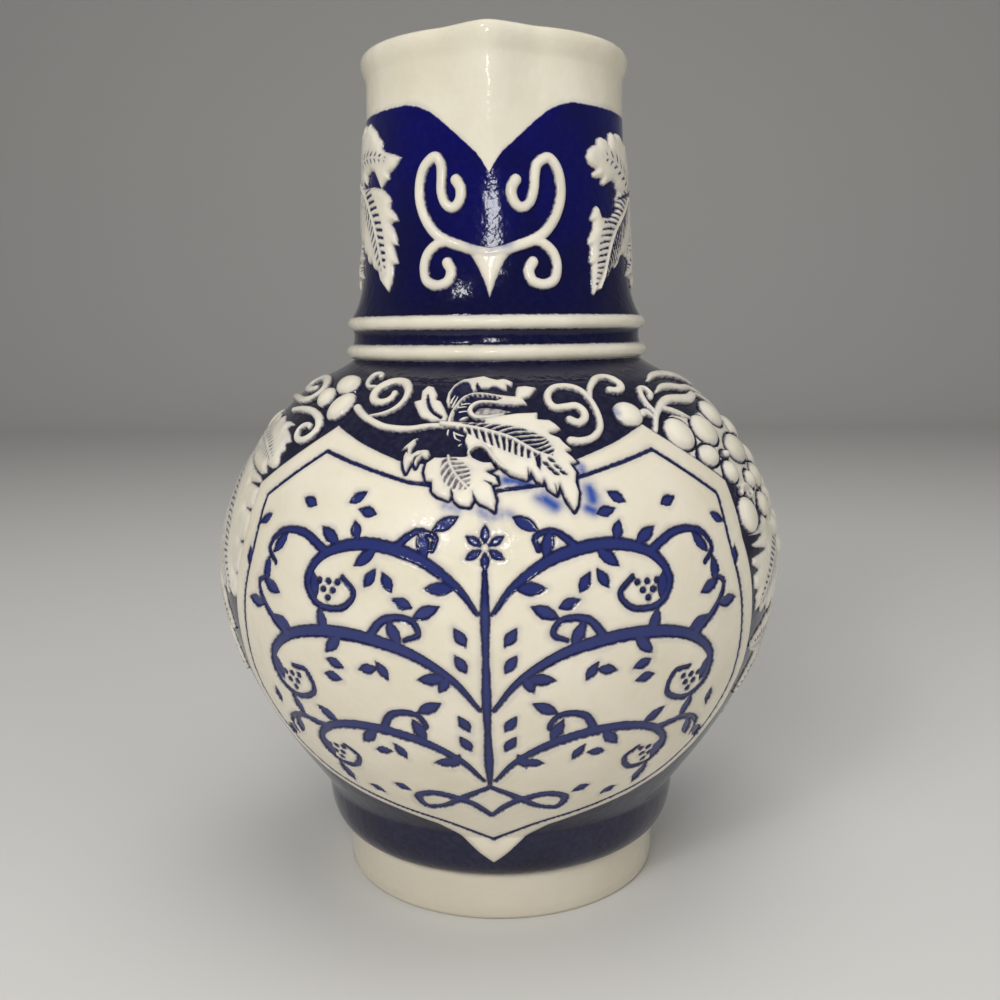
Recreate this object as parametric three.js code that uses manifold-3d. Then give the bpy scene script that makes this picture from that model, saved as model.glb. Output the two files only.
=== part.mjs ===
// Salt-glazed stoneware wine pitcher: a pot-bellied body with a tall neck and a pinched spout,
// a pulled strap handle, and the press-moulded clay sprigs that are stuck on with slip before
// firing: a shield, a scroll, vine leaves, tendrils and grapes.
// Millimetres, +Z up. The origin is the middle of the foot's underside, and the spout looks to -Y.

import * as THREE from 'three';
import { mergeVertices } from 'three/addons/utils/BufferGeometryUtils.js';
import Module from 'manifold-3d';

const wasm = await Module();
wasm.setup();

// Foot and collar
const footRadius = 42.9;
const footHeight = 12.4;
const footChamfer = 1.2;
const collarRadius = 48.4;
const collarHeight = 13.1;

// Belly, shoulder and throat
const bellyRadius = 74.4;
const bellyHeight = 60.5;
const shoulderHeight = 48.8;
const throatRadius = 46.8;
const throatHeight = 4.7;

// Two cordons with a groove between them
const bandRadius = 38.3;
const cordonHeight = 3.7;
const cordonProud = 1.7;
const grooveHeight = 3.5;

// Neck, lip and spout
const neckRadius = 34.9;
const neckTopRadius = 33.2;
const neckFlareHeight = 12.5;
const neckHeight = 59.1;
const lipHeight = 6.7;
const lipProud = 1.2;
const lipRound = 1.8;
const spoutReach = 4.5;
const spoutHeight = 42;
const spoutHalfTurn = 21;
const spoutRidge = 4;

// Walls
const bellyWall = 6;
const neckWall = 4.8;
const floorThickness = 8;

// Handle
const handleWidth = 18;
const handleThickness = 9.5;
const handleReach = 49;
const handleTopBelowLip = 24;
const handleFootBelowThroat = 21;
const handleRibDepth = 1.1;
const handleFlare = 0.4;
const handleFlareShare = 0.17;

// Sprigs: how far they stand out, the slip line under them and beside each other
const sprigThickness = 1.3;
const shieldThickness = 1;
const grapeThickness = 2.4;
const bunchPadThickness = 0.8;
const slipGap = 0.3;
const leafClearance = 0.6;
const strandWidth = 2;
const strandCrown = 0.2;
const scrollWidth = 2.8;
const grapeSpan = 9.1;

// How finely round forms are cut into facets
const columns = 28;
const columnCrowding = 0.35;
const curveSteps = 6;
const strandStep = 3.2;
const strandSides = 6;

// Heights that follow from the sizes above
const collarTop = footHeight + collarHeight;
const widestHeight = collarTop + bellyHeight;
const throatFoot = widestHeight + shoulderHeight;
const bandsFoot = throatFoot + throatHeight;
const neckFoot = bandsFoot + 2 * cordonHeight + grooveHeight;
const lipFoot = neckFoot + neckHeight;
const lipTop = lipFoot + lipHeight;

const cream = { color: 0xdfd6bf, roughness: 0.28, metalness: 0 };
const cobalt = { color: 0x1b1c44, roughness: 0.22, metalness: 0 };

function v2(x, y) {
  return new THREE.Vector2(x, y);
}

// The outside of the wall, cut into stretches from the foot to the lip. Every stretch starts
// where the one before it ends, so joined together they are one unbroken line.
function footLine() {
  return [v2(footRadius - footChamfer, 0), v2(footRadius, footChamfer), v2(footRadius, footHeight)];
}

function bellyLine() {
  const collar = new THREE.CubicBezierCurve(
    v2(footRadius, footHeight),
    v2(footRadius + 0.75 * (collarRadius - footRadius), footHeight + 0.1 * collarHeight),
    v2(collarRadius, footHeight + 0.5 * collarHeight),
    v2(collarRadius, collarTop),
  );
  const spread = bellyRadius - collarRadius;
  const lower = new THREE.CubicBezierCurve(
    v2(collarRadius, collarTop),
    v2(collarRadius + 0.14 * spread, collarTop + 0.125 * bellyHeight),
    v2(bellyRadius, widestHeight - 0.5 * bellyHeight),
    v2(bellyRadius, widestHeight),
  );
  const fall = bellyRadius - throatRadius;
  const upper = new THREE.CubicBezierCurve(
    v2(bellyRadius, widestHeight),
    v2(bellyRadius, widestHeight + 0.43 * shoulderHeight),
    v2(bellyRadius - 0.63 * fall, throatFoot - 0.115 * shoulderHeight),
    v2(throatRadius, throatFoot),
  );
  const throat = new THREE.QuadraticBezierCurve(
    v2(throatRadius, throatFoot),
    v2(bandRadius + cordonProud + 0.3, throatFoot + 0.6 * throatHeight),
    v2(bandRadius, bandsFoot),
  );
  return [
    ...collar.getPoints(3),
    ...lower.getPoints(curveSteps).slice(1),
    ...upper.getPoints(curveSteps + 1).slice(1),
    ...throat.getPoints(2).slice(1),
  ];
}

function cordon(foot) {
  const rise = [0.15, 0.5, 0.85];
  return rise.map((share) => v2(bandRadius + cordonProud * Math.sin(Math.PI * share), foot + share * cordonHeight));
}

function bandsLine() {
  const upperFoot = bandsFoot + cordonHeight + grooveHeight;
  return [
    ...cordon(bandsFoot),
    v2(bandRadius, bandsFoot + cordonHeight),
    v2(bandRadius, upperFoot),
    ...cordon(upperFoot),
  ];
}

function neckLine() {
  const flare = new THREE.QuadraticBezierCurve(
    v2(bandRadius, neckFoot),
    v2(neckRadius + 0.6, neckFoot + 0.35 * neckFlareHeight),
    v2(neckRadius, neckFoot + neckFlareHeight),
  );
  const cone = new THREE.LineCurve(v2(neckRadius, neckFoot + neckFlareHeight), v2(neckTopRadius, lipFoot));
  return [...flare.getPoints(2), ...cone.getPoints(5).slice(1)];
}

// The lip flares out softly from the neck, is rounded over at the top and goes down inside it.
function lipLine() {
  const shoulder = lipTop - lipRound;
  const outer = neckTopRadius + lipProud;
  const inner = neckTopRadius - neckWall;
  const flare = new THREE.QuadraticBezierCurve(
    v2(neckTopRadius, lipFoot),
    v2(outer, lipFoot + 0.4 * lipHeight),
    v2(outer, shoulder),
  );
  const over = new THREE.EllipseCurve(outer - lipRound, shoulder, lipRound, lipRound, 0, 0.5 * Math.PI, false);
  const inside = new THREE.EllipseCurve(inner + lipRound, shoulder, lipRound, lipRound, 0.5 * Math.PI, Math.PI, false);
  return [...flare.getPoints(3).slice(1), ...over.getPoints(2).slice(1), ...inside.getPoints(2)];
}

// The hollow follows the outside at the wall's thickness, without the cordons and the collar.
function hollowLine() {
  const innerTop = neckTopRadius - neckWall + lipProud / 2;
  const innerNeck = neckRadius - neckWall;
  const innerBelly = bellyRadius - bellyWall;
  const innerThroat = throatRadius - 0.5 * bellyWall;
  const cone = new THREE.LineCurve(v2(innerTop, lipFoot - 1), v2(innerNeck, neckFoot + neckFlareHeight));
  const throat = new THREE.CubicBezierCurve(
    v2(innerNeck, neckFoot + neckFlareHeight),
    v2(innerNeck, bandsFoot + cordonHeight),
    v2(bandRadius - neckWall, bandsFoot - 0.2 * bellyWall),
    v2(innerThroat, throatFoot - 0.9 * bellyWall),
  );
  const upper = new THREE.CubicBezierCurve(
    v2(innerThroat, throatFoot - 0.9 * bellyWall),
    v2(innerBelly - 0.35 * (innerBelly - innerThroat), throatFoot - 0.3 * shoulderHeight),
    v2(innerBelly, widestHeight + 0.36 * shoulderHeight),
    v2(innerBelly, widestHeight),
  );
  const lower = new THREE.CubicBezierCurve(
    v2(innerBelly, widestHeight),
    v2(innerBelly, widestHeight - 0.5 * bellyHeight),
    v2(collarRadius - bellyWall, collarTop + 0.1 * bellyHeight),
    v2(footRadius - bellyWall, footHeight + 0.4 * collarHeight),
  );
  const floor = new THREE.QuadraticBezierCurve(
    v2(footRadius - bellyWall, footHeight + 0.4 * collarHeight),
    v2(footRadius - 1.8 * bellyWall, floorThickness),
    v2(footRadius - 3 * bellyWall, floorThickness),
  );
  return [
    ...cone.getPoints(3),
    ...throat.getPoints(3).slice(1),
    ...upper.getPoints(4).slice(1),
    ...lower.getPoints(4).slice(1),
    ...floor.getPoints(2).slice(1),
    v2(0, floorThickness),
  ];
}

// A line moved outwards by a distance, square to itself.
function parallel(line, distance) {
  return line.map((point, i) => {
    const before = line[Math.max(i - 1, 0)];
    const after = line[Math.min(i + 1, line.length - 1)];
    const along = after.clone().sub(before).normalize();
    return v2(point.x + along.y * distance, point.y - along.x * distance);
  });
}

// The pinched spout: how far a point of the neck is pushed forwards, by its turn from the front
// and its height. It is a keel with straight flanks and a rounded ridge, strongest at the lip.
function pinch(turn, height) {
  const ridge = THREE.MathUtils.degToRad(spoutRidge);
  const aside = Math.hypot(turn, ridge) - ridge;
  const flank = Math.hypot(THREE.MathUtils.degToRad(spoutHalfTurn), ridge) - ridge;
  const across = Math.max(0, 1 - aside / flank);
  const along = THREE.MathUtils.smoothstep(height, lipTop - spoutHeight, lipTop);
  return across ** 1.6 * along;
}

// A closed shape turned round the pitcher's axis. Its columns stand closer together towards
// the front, where the spout and the finest sprigs are.
function turned(line) {
  const geometry = new THREE.LatheGeometry(line, columns);
  const place = geometry.attributes.position;
  for (let i = 0; i < place.count; i += 1) {
    const even = Math.atan2(place.getX(i), place.getZ(i));
    const turn = even - columnCrowding * Math.sin(even);
    const height = place.getY(i);
    const radius = Math.hypot(place.getX(i), place.getZ(i)) + spoutReach * pinch(turn, height);
    place.setXYZ(i, radius * Math.sin(turn), -radius * Math.cos(turn), height);
  }
  return solid(geometry);
}

// A geometry as a watertight body: shared points merged, collapsed triangles left out and the
// faces turned outwards.
function solid(geometry) {
  const bare = geometry.clone();
  bare.deleteAttribute('normal');
  bare.deleteAttribute('uv');
  const merged = mergeVertices(bare, 1e-4);
  const place = merged.attributes.position.array;
  const index = merged.index.array;
  const kept = [];
  let volume = 0;
  const corners = [new THREE.Vector3(), new THREE.Vector3(), new THREE.Vector3()];
  for (let i = 0; i < index.length; i += 3) {
    const [a, b, c] = [index[i], index[i + 1], index[i + 2]];
    if (a === b || b === c || c === a) continue;
    kept.push(a, b, c);
    [a, b, c].forEach((corner, n) => corners[n].fromArray(place, 3 * corner));
    volume += corners[0].dot(corners[1].cross(corners[2]));
  }
  if (volume < 0) kept.reverse();
  return new wasm.Manifold(new wasm.Mesh({
    numProp: 3,
    vertProperties: new Float32Array(place),
    triVerts: new Uint32Array(kept),
  }));
}

const outside = [...footLine(), ...bellyLine().slice(1), ...bandsLine(), ...neckLine(), ...lipLine()];

// The body's outer form without its hollow, grown by a clearance: what is stuck on is cut to it.
function bodyForm(clearance) {
  const grown = parallel(outside, clearance);
  const top = grown[grown.length - 1];
  return turned([v2(0, grown[0].y - clearance), ...grown, v2(0, top.y)]);
}

// An even skin over a stretch of the wall, from the slip line out to a sprig's face.
function skin(stretch, thickness) {
  const under = parallel(stretch, slipGap);
  const face = parallel(stretch, slipGap + thickness);
  return turned([...under, ...face.reverse(), under[0]]);
}

const neckStretch = neckLine();
const bellyStretch = bellyLine();
const neckSkin = skin(neckStretch, sprigThickness);
const bellySkin = skin(bellyStretch, sprigThickness);
const shieldSkin = skin(bellyStretch, shieldThickness);
const bodyClearance = bodyForm(slipGap);

// Sprigs are drawn on a sheet that is then laid round the pitcher. A spot on a sheet is a turn
// from the front in degrees and a height in hundredths of the sheet: the belly's sheet runs
// from the collar's top to the throat, and the neck's from the neck's foot to the lip.
const bellySheet = {
  line: bellyStretch, radius: 0.85 * bellyRadius, foot: collarTop, height: throatFoot - collarTop,
};
const neckSheet = { line: neckStretch, radius: neckRadius, foot: neckFoot, height: neckHeight };

function spot(sheet, [turn, height]) {
  return v2(THREE.MathUtils.degToRad(turn) * sheet.radius, sheet.foot + (height / 100) * sheet.height);
}

// A flat outline carried from the pitcher's axis straight outwards through the wall. It grows
// in layers, each a little wider than the one before, so that its sides stay true to the outline.
function cutter(sheet, outline) {
  const layers = [0.05, 0.3, 0.36, 0.43, 0.52, 0.62, 0.74, 0.89, 1.1, 2.7];
  const steps = layers.length - 1;
  const geometry = new THREE.ExtrudeGeometry(new THREE.Shape(outline), { depth: steps, steps, bevelEnabled: false });
  const place = geometry.attributes.position;
  for (let i = 0; i < place.count; i += 1) {
    const turn = place.getX(i) / sheet.radius;
    const radius = layers[Math.round(place.getZ(i))] * bellyRadius;
    place.setXYZ(i, radius * Math.sin(turn), -radius * Math.cos(turn), place.getY(i));
  }
  return solid(geometry);
}

function joined(bodies) {
  return bodies.reduce((whole, body) => whole.add(body));
}

// One tooth-edged lobe of a vine leaf, drawn about its midrib. Its widest place lies before
// the middle, and its teeth lean towards the tip.
function lobe(sheet, spots, share, teeth, shift) {
  const [heel, bend, tip] = spots.map((place) => spot(sheet, place).add(shift));
  const rib = new THREE.QuadraticBezierCurve(heel, bend, tip);
  const length = rib.getLength();
  const sides = [[], []];
  for (let i = 1; i <= 2 * teeth; i += 1) {
    const along = i / (2 * teeth + 1);
    const notch = i % 2 ? 1.1 : 0.82;
    const half = 0.5 * share * length * Math.sin(Math.PI * along ** 0.75) ** 0.7 * notch;
    const run = rib.getTangent(along);
    const middle = rib.getPoint(along);
    const lean = i % 2 ? 0.06 * length : 0;
    [1, -1].forEach((side, n) => {
      sides[n].push(v2(
        middle.x + run.x * lean - side * run.y * half,
        middle.y + run.y * lean + side * run.x * half,
      ));
    });
  }
  return cutter(sheet, [heel, ...sides[0], tip, ...sides[1].reverse()]);
}

function leaf(sheet, lobes, shift = v2(0, 0)) {
  return joined(lobes.map(([spots, share, teeth]) => lobe(sheet, spots, share, teeth, shift)));
}

// Where a spot of a sheet lies on the wall: the point, lifted off it, and the way out of it.
// A spot past an end of the sheet's line is carried on along its last stretch.
function onWall(sheet, place, lift) {
  const turn = place.x / sheet.radius;
  const found = sheet.line.findIndex((point) => point.y > place.y);
  const above = found < 0 ? sheet.line.length - 1 : Math.max(found, 1);
  const [low, high] = [sheet.line[above - 1], sheet.line[above]];
  const seat = low.clone().lerp(high, (place.y - low.y) / (high.y - low.y));
  const slope = high.clone().sub(low).normalize();
  const radius = seat.x + spoutReach * pinch(turn, seat.y) + slope.y * lift;
  return {
    point: new THREE.Vector3(radius * Math.sin(turn), -radius * Math.cos(turn), seat.y - slope.x * lift),
    round: new THREE.Vector3(Math.cos(turn), Math.sin(turn), 0),
    up: new THREE.Vector3(slope.x * Math.sin(turn), -slope.x * Math.cos(turn), slope.y),
    out: new THREE.Vector3(slope.y * Math.sin(turn), -slope.y * Math.cos(turn), -slope.x),
    slope,
  };
}

// A strand of rolled clay laid along a curve. Its underside is cut away to the body's form.
function strand(sheet, spots, width) {
  const drawn = new THREE.SplineCurve(spots.map((place) => spot(sheet, place)));
  const steps = Math.ceil(drawn.getLength() / strandStep);
  const radius = width / 2 + strandCrown;
  const laid = drawn.getSpacedPoints(steps).map((place) => onWall(sheet, place, slipGap + strandCrown).point);
  const section = new THREE.Shape();
  section.absarc(0, 0, radius, 0, 2 * Math.PI);
  const rope = new THREE.ExtrudeGeometry(section, {
    steps, curveSegments: strandSides / 2, bevelEnabled: false, extrudePath: new THREE.CatmullRomCurve3(laid),
  });
  return solid(rope).subtract(bodyClearance);
}

// A grape is a flattened ball of clay that sits in the wall's surface. Its width and height are
// shares of a full grape, which spans as many degrees as hundredths of the sheet, so that bunches
// keep together on a larger body. On the sloping shoulder the ball is longer than its height.
function grape(sheet, place, width, height) {
  const seat = onWall(sheet, spot(sheet, place), 0);
  const size = spot(sheet, [width * grapeSpan, height * grapeSpan]).sub(spot(sheet, [0, 0]));
  const ball = new THREE.SphereGeometry(1, 7, 4);
  ball.rotateX(Math.PI / 2);
  ball.scale(size.x / 2, size.y / 2 / Math.max(seat.slope.y, 0.45), grapeThickness + slipGap);
  const frame = new THREE.Matrix4().makeBasis(seat.round, seat.up, seat.out);
  ball.applyMatrix4(frame.setPosition(seat.point));
  return solid(ball);
}

function mirrored(spots) {
  return spots.map(([turn, height]) => [-turn, height]);
}

const root = new THREE.Group();

function add(name, body, look) {
  const { vertProperties, triVerts, numProp } = body.getMesh();
  const geometry = new THREE.BufferGeometry();
  const place = new Float32Array((vertProperties.length / numProp) * 3);
  for (let i = 0; i < place.length / 3; i += 1) {
    place.set(vertProperties.subarray(i * numProp, i * numProp + 3), 3 * i);
  }
  geometry.setAttribute('position', new THREE.BufferAttribute(place, 3));
  geometry.setIndex(new THREE.BufferAttribute(new Uint32Array(triVerts), 1));
  geometry.computeVertexNormals();
  const mesh = new THREE.Mesh(geometry, new THREE.MeshStandardMaterial(look));
  mesh.name = name;
  root.add(mesh);
}

// The body: foot, collar, belly, cordons, neck, spout and lip are thrown as one wall.
add('vessel', turned([v2(0, 0), ...outside, ...hollowLine()]), cobalt);

// The handle: a pulled strap with two finger grooves down its back, bowed out from the neck and
// set down on the shoulder. It thins towards its foot, spreads out where it is luted on, and both
// ends are cut to the body's form.
function handle() {
  const topHeight = lipTop - handleTopBelowLip;
  const footPlace = throatFoot - handleFootBelowThroat;
  const outerPlace = neckRadius + handleReach;
  const bow = topHeight - footPlace;
  const path = new THREE.CatmullRomCurve3([
    new THREE.Vector3(0, neckTopRadius - 0.6 * neckWall, topHeight),
    new THREE.Vector3(0, neckRadius + 0.28 * handleReach, topHeight + 0.06 * bow),
    new THREE.Vector3(0, neckRadius + 0.68 * handleReach, topHeight - 0.02 * bow),
    new THREE.Vector3(0, outerPlace - 0.03 * handleReach, topHeight - 0.26 * bow),
    new THREE.Vector3(0, outerPlace - 0.02 * handleReach, topHeight - 0.52 * bow),
    new THREE.Vector3(0, neckRadius + 0.82 * handleReach, topHeight - 0.8 * bow),
    new THREE.Vector3(0, bellyRadius - 2 * bellyWall, footPlace - 0.02 * bow),
  ]);
  const half = handleWidth / 2;
  const deep = handleThickness / 2;
  const section = new THREE.Shape([
    v2(0, -deep), v2(0.6 * half, -0.8 * deep), v2(half, -0.25 * deep), v2(0.97 * half, 0.45 * deep),
    v2(0.72 * half, deep), v2(0.4 * half, deep - handleRibDepth), v2(0, deep), v2(-0.4 * half, deep - handleRibDepth),
    v2(-0.72 * half, deep), v2(-0.97 * half, 0.45 * deep), v2(-half, -0.25 * deep), v2(-0.6 * half, -0.8 * deep),
  ]);
  const strap = new THREE.ExtrudeGeometry(section, { depth: 1, steps: 24, bevelEnabled: false });
  const place = strap.attributes.position;
  for (let i = 0; i < place.count; i += 1) {
    const along = place.getZ(i);
    const spine = path.getPointAt(along);
    const run = path.getTangentAt(along);
    const end = 1 - THREE.MathUtils.smoothstep(Math.min(along, 1 - along), 0, handleFlareShare);
    const spread = 1.04 - 0.12 * along + handleFlare * end;
    const wide = place.getX(i) * spread;
    const tall = place.getY(i) * spread;
    place.setXYZ(i, wide, spine.y - run.z * tall, spine.z + run.y * tall);
  }
  return solid(strap).subtract(bodyClearance);
}
add('handle', handle(), cobalt);

// Sprigs of the neck: a mirrored scroll under the spout and a hanging vine leaf at each side.
const scrollArm = [
  [11, 52.1], [8, 47.5], [12, 42.3], [16.5, 43.3], [19, 49.2], [18.8, 55.2], [19.5, 60.7], [23.5, 63.3],
  [29, 59.4], [29.8, 51.8], [28, 44.7], [24.5, 37.7], [20, 32.1], [14, 28.1], [6.5, 25], [0, 23.7],
];
const scrollFoot = [
  [20, 32.1], [24, 29.8], [26.5, 25.4], [27.3, 20.1], [25, 13.7], [19.5, 11.7], [15.5, 15.4], [15.5, 21.7],
];
const scrollStem = [[0, 25], [10, 27.5], [3.8, 20.5], [0, 7.5], [-3.8, 20.5], [-10, 27.5]];
const scroll = [scrollArm, mirrored(scrollArm), scrollFoot, mirrored(scrollFoot)];
add('neck_scroll', joined([
  ...scroll.map((spots) => strand(neckSheet, spots, scrollWidth)),
  neckSkin.intersect(cutter(neckSheet, scrollStem.map((place) => spot(neckSheet, place)))),
]), cream);

const neckLobes = [
  [[[75, 54], [54, 36], [43.3, 8.3]], 0.5, 4],
  [[[76, 50], [60, 70], [42.5, 62.5]], 0.5, 3],
  [[[76, 50], [84, 76], [90, 73]], 0.5, 2],
  [[[72, 52], [88, 40], [104, 42]], 0.4, 2],
  [[[75, 54], [74, 34], [66, 17]], 0.5, 2],
];
for (const [name, side] of [['neck_leaf_right', 1], ['neck_leaf_left', -1]]) {
  const lobes = neckLobes.map(([spots, share, teeth]) => [side > 0 ? spots : mirrored(spots), share, teeth]);
  add(name, neckSkin.intersect(leaf(neckSheet, lobes)), cream);
}

// The front vine spray lies over the shield's upper edge: its cane with a coiled tendril,
// then the leaves that hang from one joint of the cane.
const sprayLobes = [
  [[[-8, 92.2], [5, 92.5], [14, 82.5]], 0.5, 4],
  [[[9, 87.4], [15, 84], [16.5, 76.1]], 0.6, 3],
  [[[-8.5, 92.3], [-5, 98.4], [12.8, 99.4]], 0.26, 4],
  [[[-9.6, 93.5], [-9, 101], [6.5, 100.6]], 0.2, 3],
  [[[-9.5, 92.3], [-13, 95.6], [-17, 99.4]], 0.5, 2],
  [[[-10.5, 93], [-14, 94.5], [-18.2, 96.7]], 0.4, 2],
  [[[-8, 91.5], [-7, 81], [1.6, 76.6]], 0.75, 4],
  [[[-9, 91], [-14, 88.8], [-16, 83.2]], 0.4, 2],
  [[[-9, 91], [-15, 91], [-18, 87.4]], 0.3, 2],
];
const cane = [[-8.5, 92.1], [-17.7, 91.6], [-24.3, 92.1], [-29.7, 93.6], [-34.7, 95.4]];
const coil = [
  [-27.8, 93.4], [-25, 94.4], [-22, 95.9], [-20.8, 97.9], [-21.7, 99.8], [-24, 100.7], [-27, 100.9],
  [-30, 100.4], [-32, 99], [-31.5, 97.3], [-29, 96.4], [-26.5, 96.7], [-24.8, 97.7],
];
const sprayLeaves = bellySkin.intersect(leaf(bellySheet, sprayLobes));
add('front_vine_spray', joined([
  sprayLeaves,
  strand(bellySheet, cane, strandWidth),
  strand(bellySheet, coil, strandWidth),
]), cream);

// The shield: a thin plate of clay over the front of the belly, with its edge drawn on one side.
const shieldEdge = [
  [0, 83.7], [18, 85.4], [28, 88.3], [37.2, 91.4], [55.5, 78.3], [54.5, 66.3], [57, 50.8], [59, 37.1],
  [58, 27], [53, 17.8], [46, 12.2], [36.4, 8.5], [26, 5.9], [15.6, 3], [9, -0.7], [4, -4.4], [0, -6.9],
];
const shieldOutline = [...shieldEdge, ...mirrored(shieldEdge.slice(1, -1)).reverse()];
const shieldCut = cutter(bellySheet, shieldOutline.map((place) => spot(bellySheet, place)));
const apart = [v2(0, 0), v2(-1, -1), v2(1, -1), v2(-1, 1), v2(1, 1)];
const roundLeaves = joined(apart.map((way) => leaf(bellySheet, sprayLobes, way.multiplyScalar(leafClearance))));
add('shield_panel', shieldSkin.intersect(shieldCut).subtract(roundLeaves), cream);

// Loose tendrils round the shoulder.
const tendrils = {
  front_tendril: [
    [[17.3, 89.7], [21, 89], [24.3, 90.4], [26.3, 93.5], [25.7, 96.9], [23.7, 99], [19.7, 99.7],
      [15.7, 98.6], [14.7, 96.2], [17.7, 95.2], [21.7, 95.2], [23, 93.8], [21, 92.4], [18, 93.1]],
    [[25.9, 96.4], [27.7, 99.7], [31, 101.1], [35.7, 101.1], [39, 99.7], [35.7, 98.4], [33, 98.6]],
  ],
  left_tendril: [
    [[-61, 93.6], [-56, 94.3], [-51, 94.1], [-46, 93.1], [-42.8, 91], [-43.3, 89], [-46, 88], [-48.8, 88.7],
      [-49.8, 90.1], [-48.5, 91], [-46.5, 90.9]],
  ],
  left_upper_tendril: [
    [[-77, 94], [-67, 96.4], [-58, 97.6], [-55.5, 99.5], [-58, 101.2], [-64, 101.4], [-69, 100.2], [-66, 98.8]],
  ],
  small_left_tendril: [
    [[-33.5, 99.4], [-36.3, 99.5], [-38.4, 100.6], [-37, 101.8], [-34, 101.5]],
  ],
  right_tendril: [
    [[42.5, 92.4], [42.6, 96.4], [44.5, 98.2], [46.8, 97.2]],
    [[42.5, 92.4], [45.5, 94.8], [51, 95.6], [57, 94.4]],
    [[44, 93.6], [50, 97.8], [57, 98.6], [65, 97]],
  ],
};
for (const [name, strands] of Object.entries(tendrils)) {
  add(name, joined(strands.map((spots) => strand(bellySheet, spots, strandWidth))), cream);
}

// Single grapes, and the two hanging bunches, whose grapes stand pressed together on a thin pad.
function grapes(places) {
  return joined(places.map(([turn, height, width, tall]) => grape(bellySheet, [turn, height], width, tall)))
    .subtract(bodyClearance);
}
const looseGrapes = {
  front_grape: [35, 93.6, 0.8, 0.5],
  left_grape_low: [-40, 95.4, 0.85, 0.55],
  left_grape_top: [-45, 100, 0.86, 0.34],
  left_grape_outer: [-48.7, 96.9, 0.72, 0.4],
  right_low_grape: [60.5, 70.3, 0.72, 0.9],
};
for (const [name, [turn, height, wide, tall]] of Object.entries(looseGrapes)) {
  add(name, grapes([[turn, height, wide, tall]]), cream);
}
const bunchGrapes = [
  [48, 89.5, 1, 0.68], [57.5, 89.2, 1.15, 0.78], [68.5, 90.3, 1.15, 0.75], [54.2, 84.4, 0.86, 0.6],
  [63, 84, 1, 0.72], [74, 85, 1.1, 0.8], [60, 80, 0.74, 0.7], [68.5, 79.5, 1, 0.85],
  [78, 80, 1, 0.85], [72.5, 74.4, 0.95, 0.9], [81, 75, 0.95, 0.85], [77, 69.5, 0.9, 0.85],
];
const padTop = [[53, 83.5], [49, 88.5], [58, 91], [68.5, 92.5], [76, 86.5], [80, 80]];
const bunches = {
  right_grape_bunch: {
    side: 1, offset: 0, swell: 1.02, count: bunchGrapes.length,
    pad: [...padTop, [83, 75], [77.5, 67.5], [71, 73], [66.5, 78], [60, 78]],
  },
  left_grape_bunch: {
    side: -1, offset: 41.5, swell: 1.1, count: bunchGrapes.length - 3,
    pad: [...padTop, [68.5, 78], [60, 78]],
  },
};
const padSkin = skin(bellyStretch, bunchPadThickness);
for (const [name, { side, offset, swell, count, pad }] of Object.entries(bunches)) {
  const padOutline = pad.map(([turn, height]) => spot(bellySheet, [side * (turn + offset), height]));
  const places = bunchGrapes.slice(0, count).map(([turn, height, wide, tall]) => (
    [side * (turn + offset), height, wide * swell, tall * swell]
  ));
  add(name, grapes(places).add(padSkin.intersect(cutter(bellySheet, padOutline))), cream);
}

// Large vine leaves at the sides of the shield and on towards the handle.
const sideLeaves = {
  left_leaf: [
    [[[-78, 84], [-64, 89.5], [-51.3, 87.3]], 0.34, 3],
    [[[-78, 84], [-62, 84], [-51.5, 82.8]], 0.4, 3],
    [[[-78, 84], [-61.5, 78], [-60, 53]], 0.38, 5],
    [[[-78, 84], [-78, 74], [-74, 62]], 0.4, 3],
    [[[-78, 84], [-80, 74], [-84, 66]], 0.4, 2],
  ],
  left_low_leaf: [
    [[[-86, 56], [-74, 54], [-61.5, 44.5]], 0.4, 4],
    [[[-86, 56], [-77, 46], [-64.5, 33]], 0.34, 4],
    [[[-86, 56], [-86, 44], [-80, 28]], 0.4, 4],
  ],
  right_leaf: [
    [[[80, 62], [70, 64], [60, 61.5]], 0.4, 3],
    [[[80, 62], [66, 60], [60.6, 47]], 0.45, 5],
    [[[80, 62], [81, 56], [77, 48.5]], 0.5, 3],
    [[[80, 62], [90, 58], [96, 48]], 0.4, 4],
  ],
  right_low_leaf: [
    [[[86, 37], [74, 41], [62.3, 41]], 0.3, 3],
    [[[86, 37], [74, 34], [65, 28]], 0.4, 3],
    [[[86, 37], [84, 28], [76, 18]], 0.4, 3],
  ],
  back_leaf_right: [
    [[[116, 92], [104, 88], [94, 88]], 0.4, 2],
    [[[116, 92], [104, 78], [98, 62]], 0.4, 3],
    [[[116, 92], [118, 76], [116, 58]], 0.5, 3],
    [[[116, 92], [128, 80], [134, 66]], 0.4, 3],
  ],
  back_leaf_left: [
    [[[-140, 92], [-134, 78], [-130, 66]], 0.45, 4],
    [[[-140, 92], [-142, 76], [-144, 62]], 0.45, 4],
    [[[-140, 92], [-150, 82], [-158, 74]], 0.4, 3],
  ],
};
for (const [name, lobes] of Object.entries(sideLeaves)) {
  add(name, bellySkin.intersect(leaf(bellySheet, lobes)), cream);
}

export default root;
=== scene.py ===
# Salt-glazed stoneware wine pitcher: a thrown body with a cobalt ground, and press-moulded
# sprigs of vine, scroll and shield. The scene is in metres and its drawings in millimetres, the
# body's in radius and height, the sprigs' in degrees of turn from the spout and in height. The
# spout looks to -Y.
import math

import bpy
import numpy as np
from mathutils import Matrix, Vector


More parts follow.
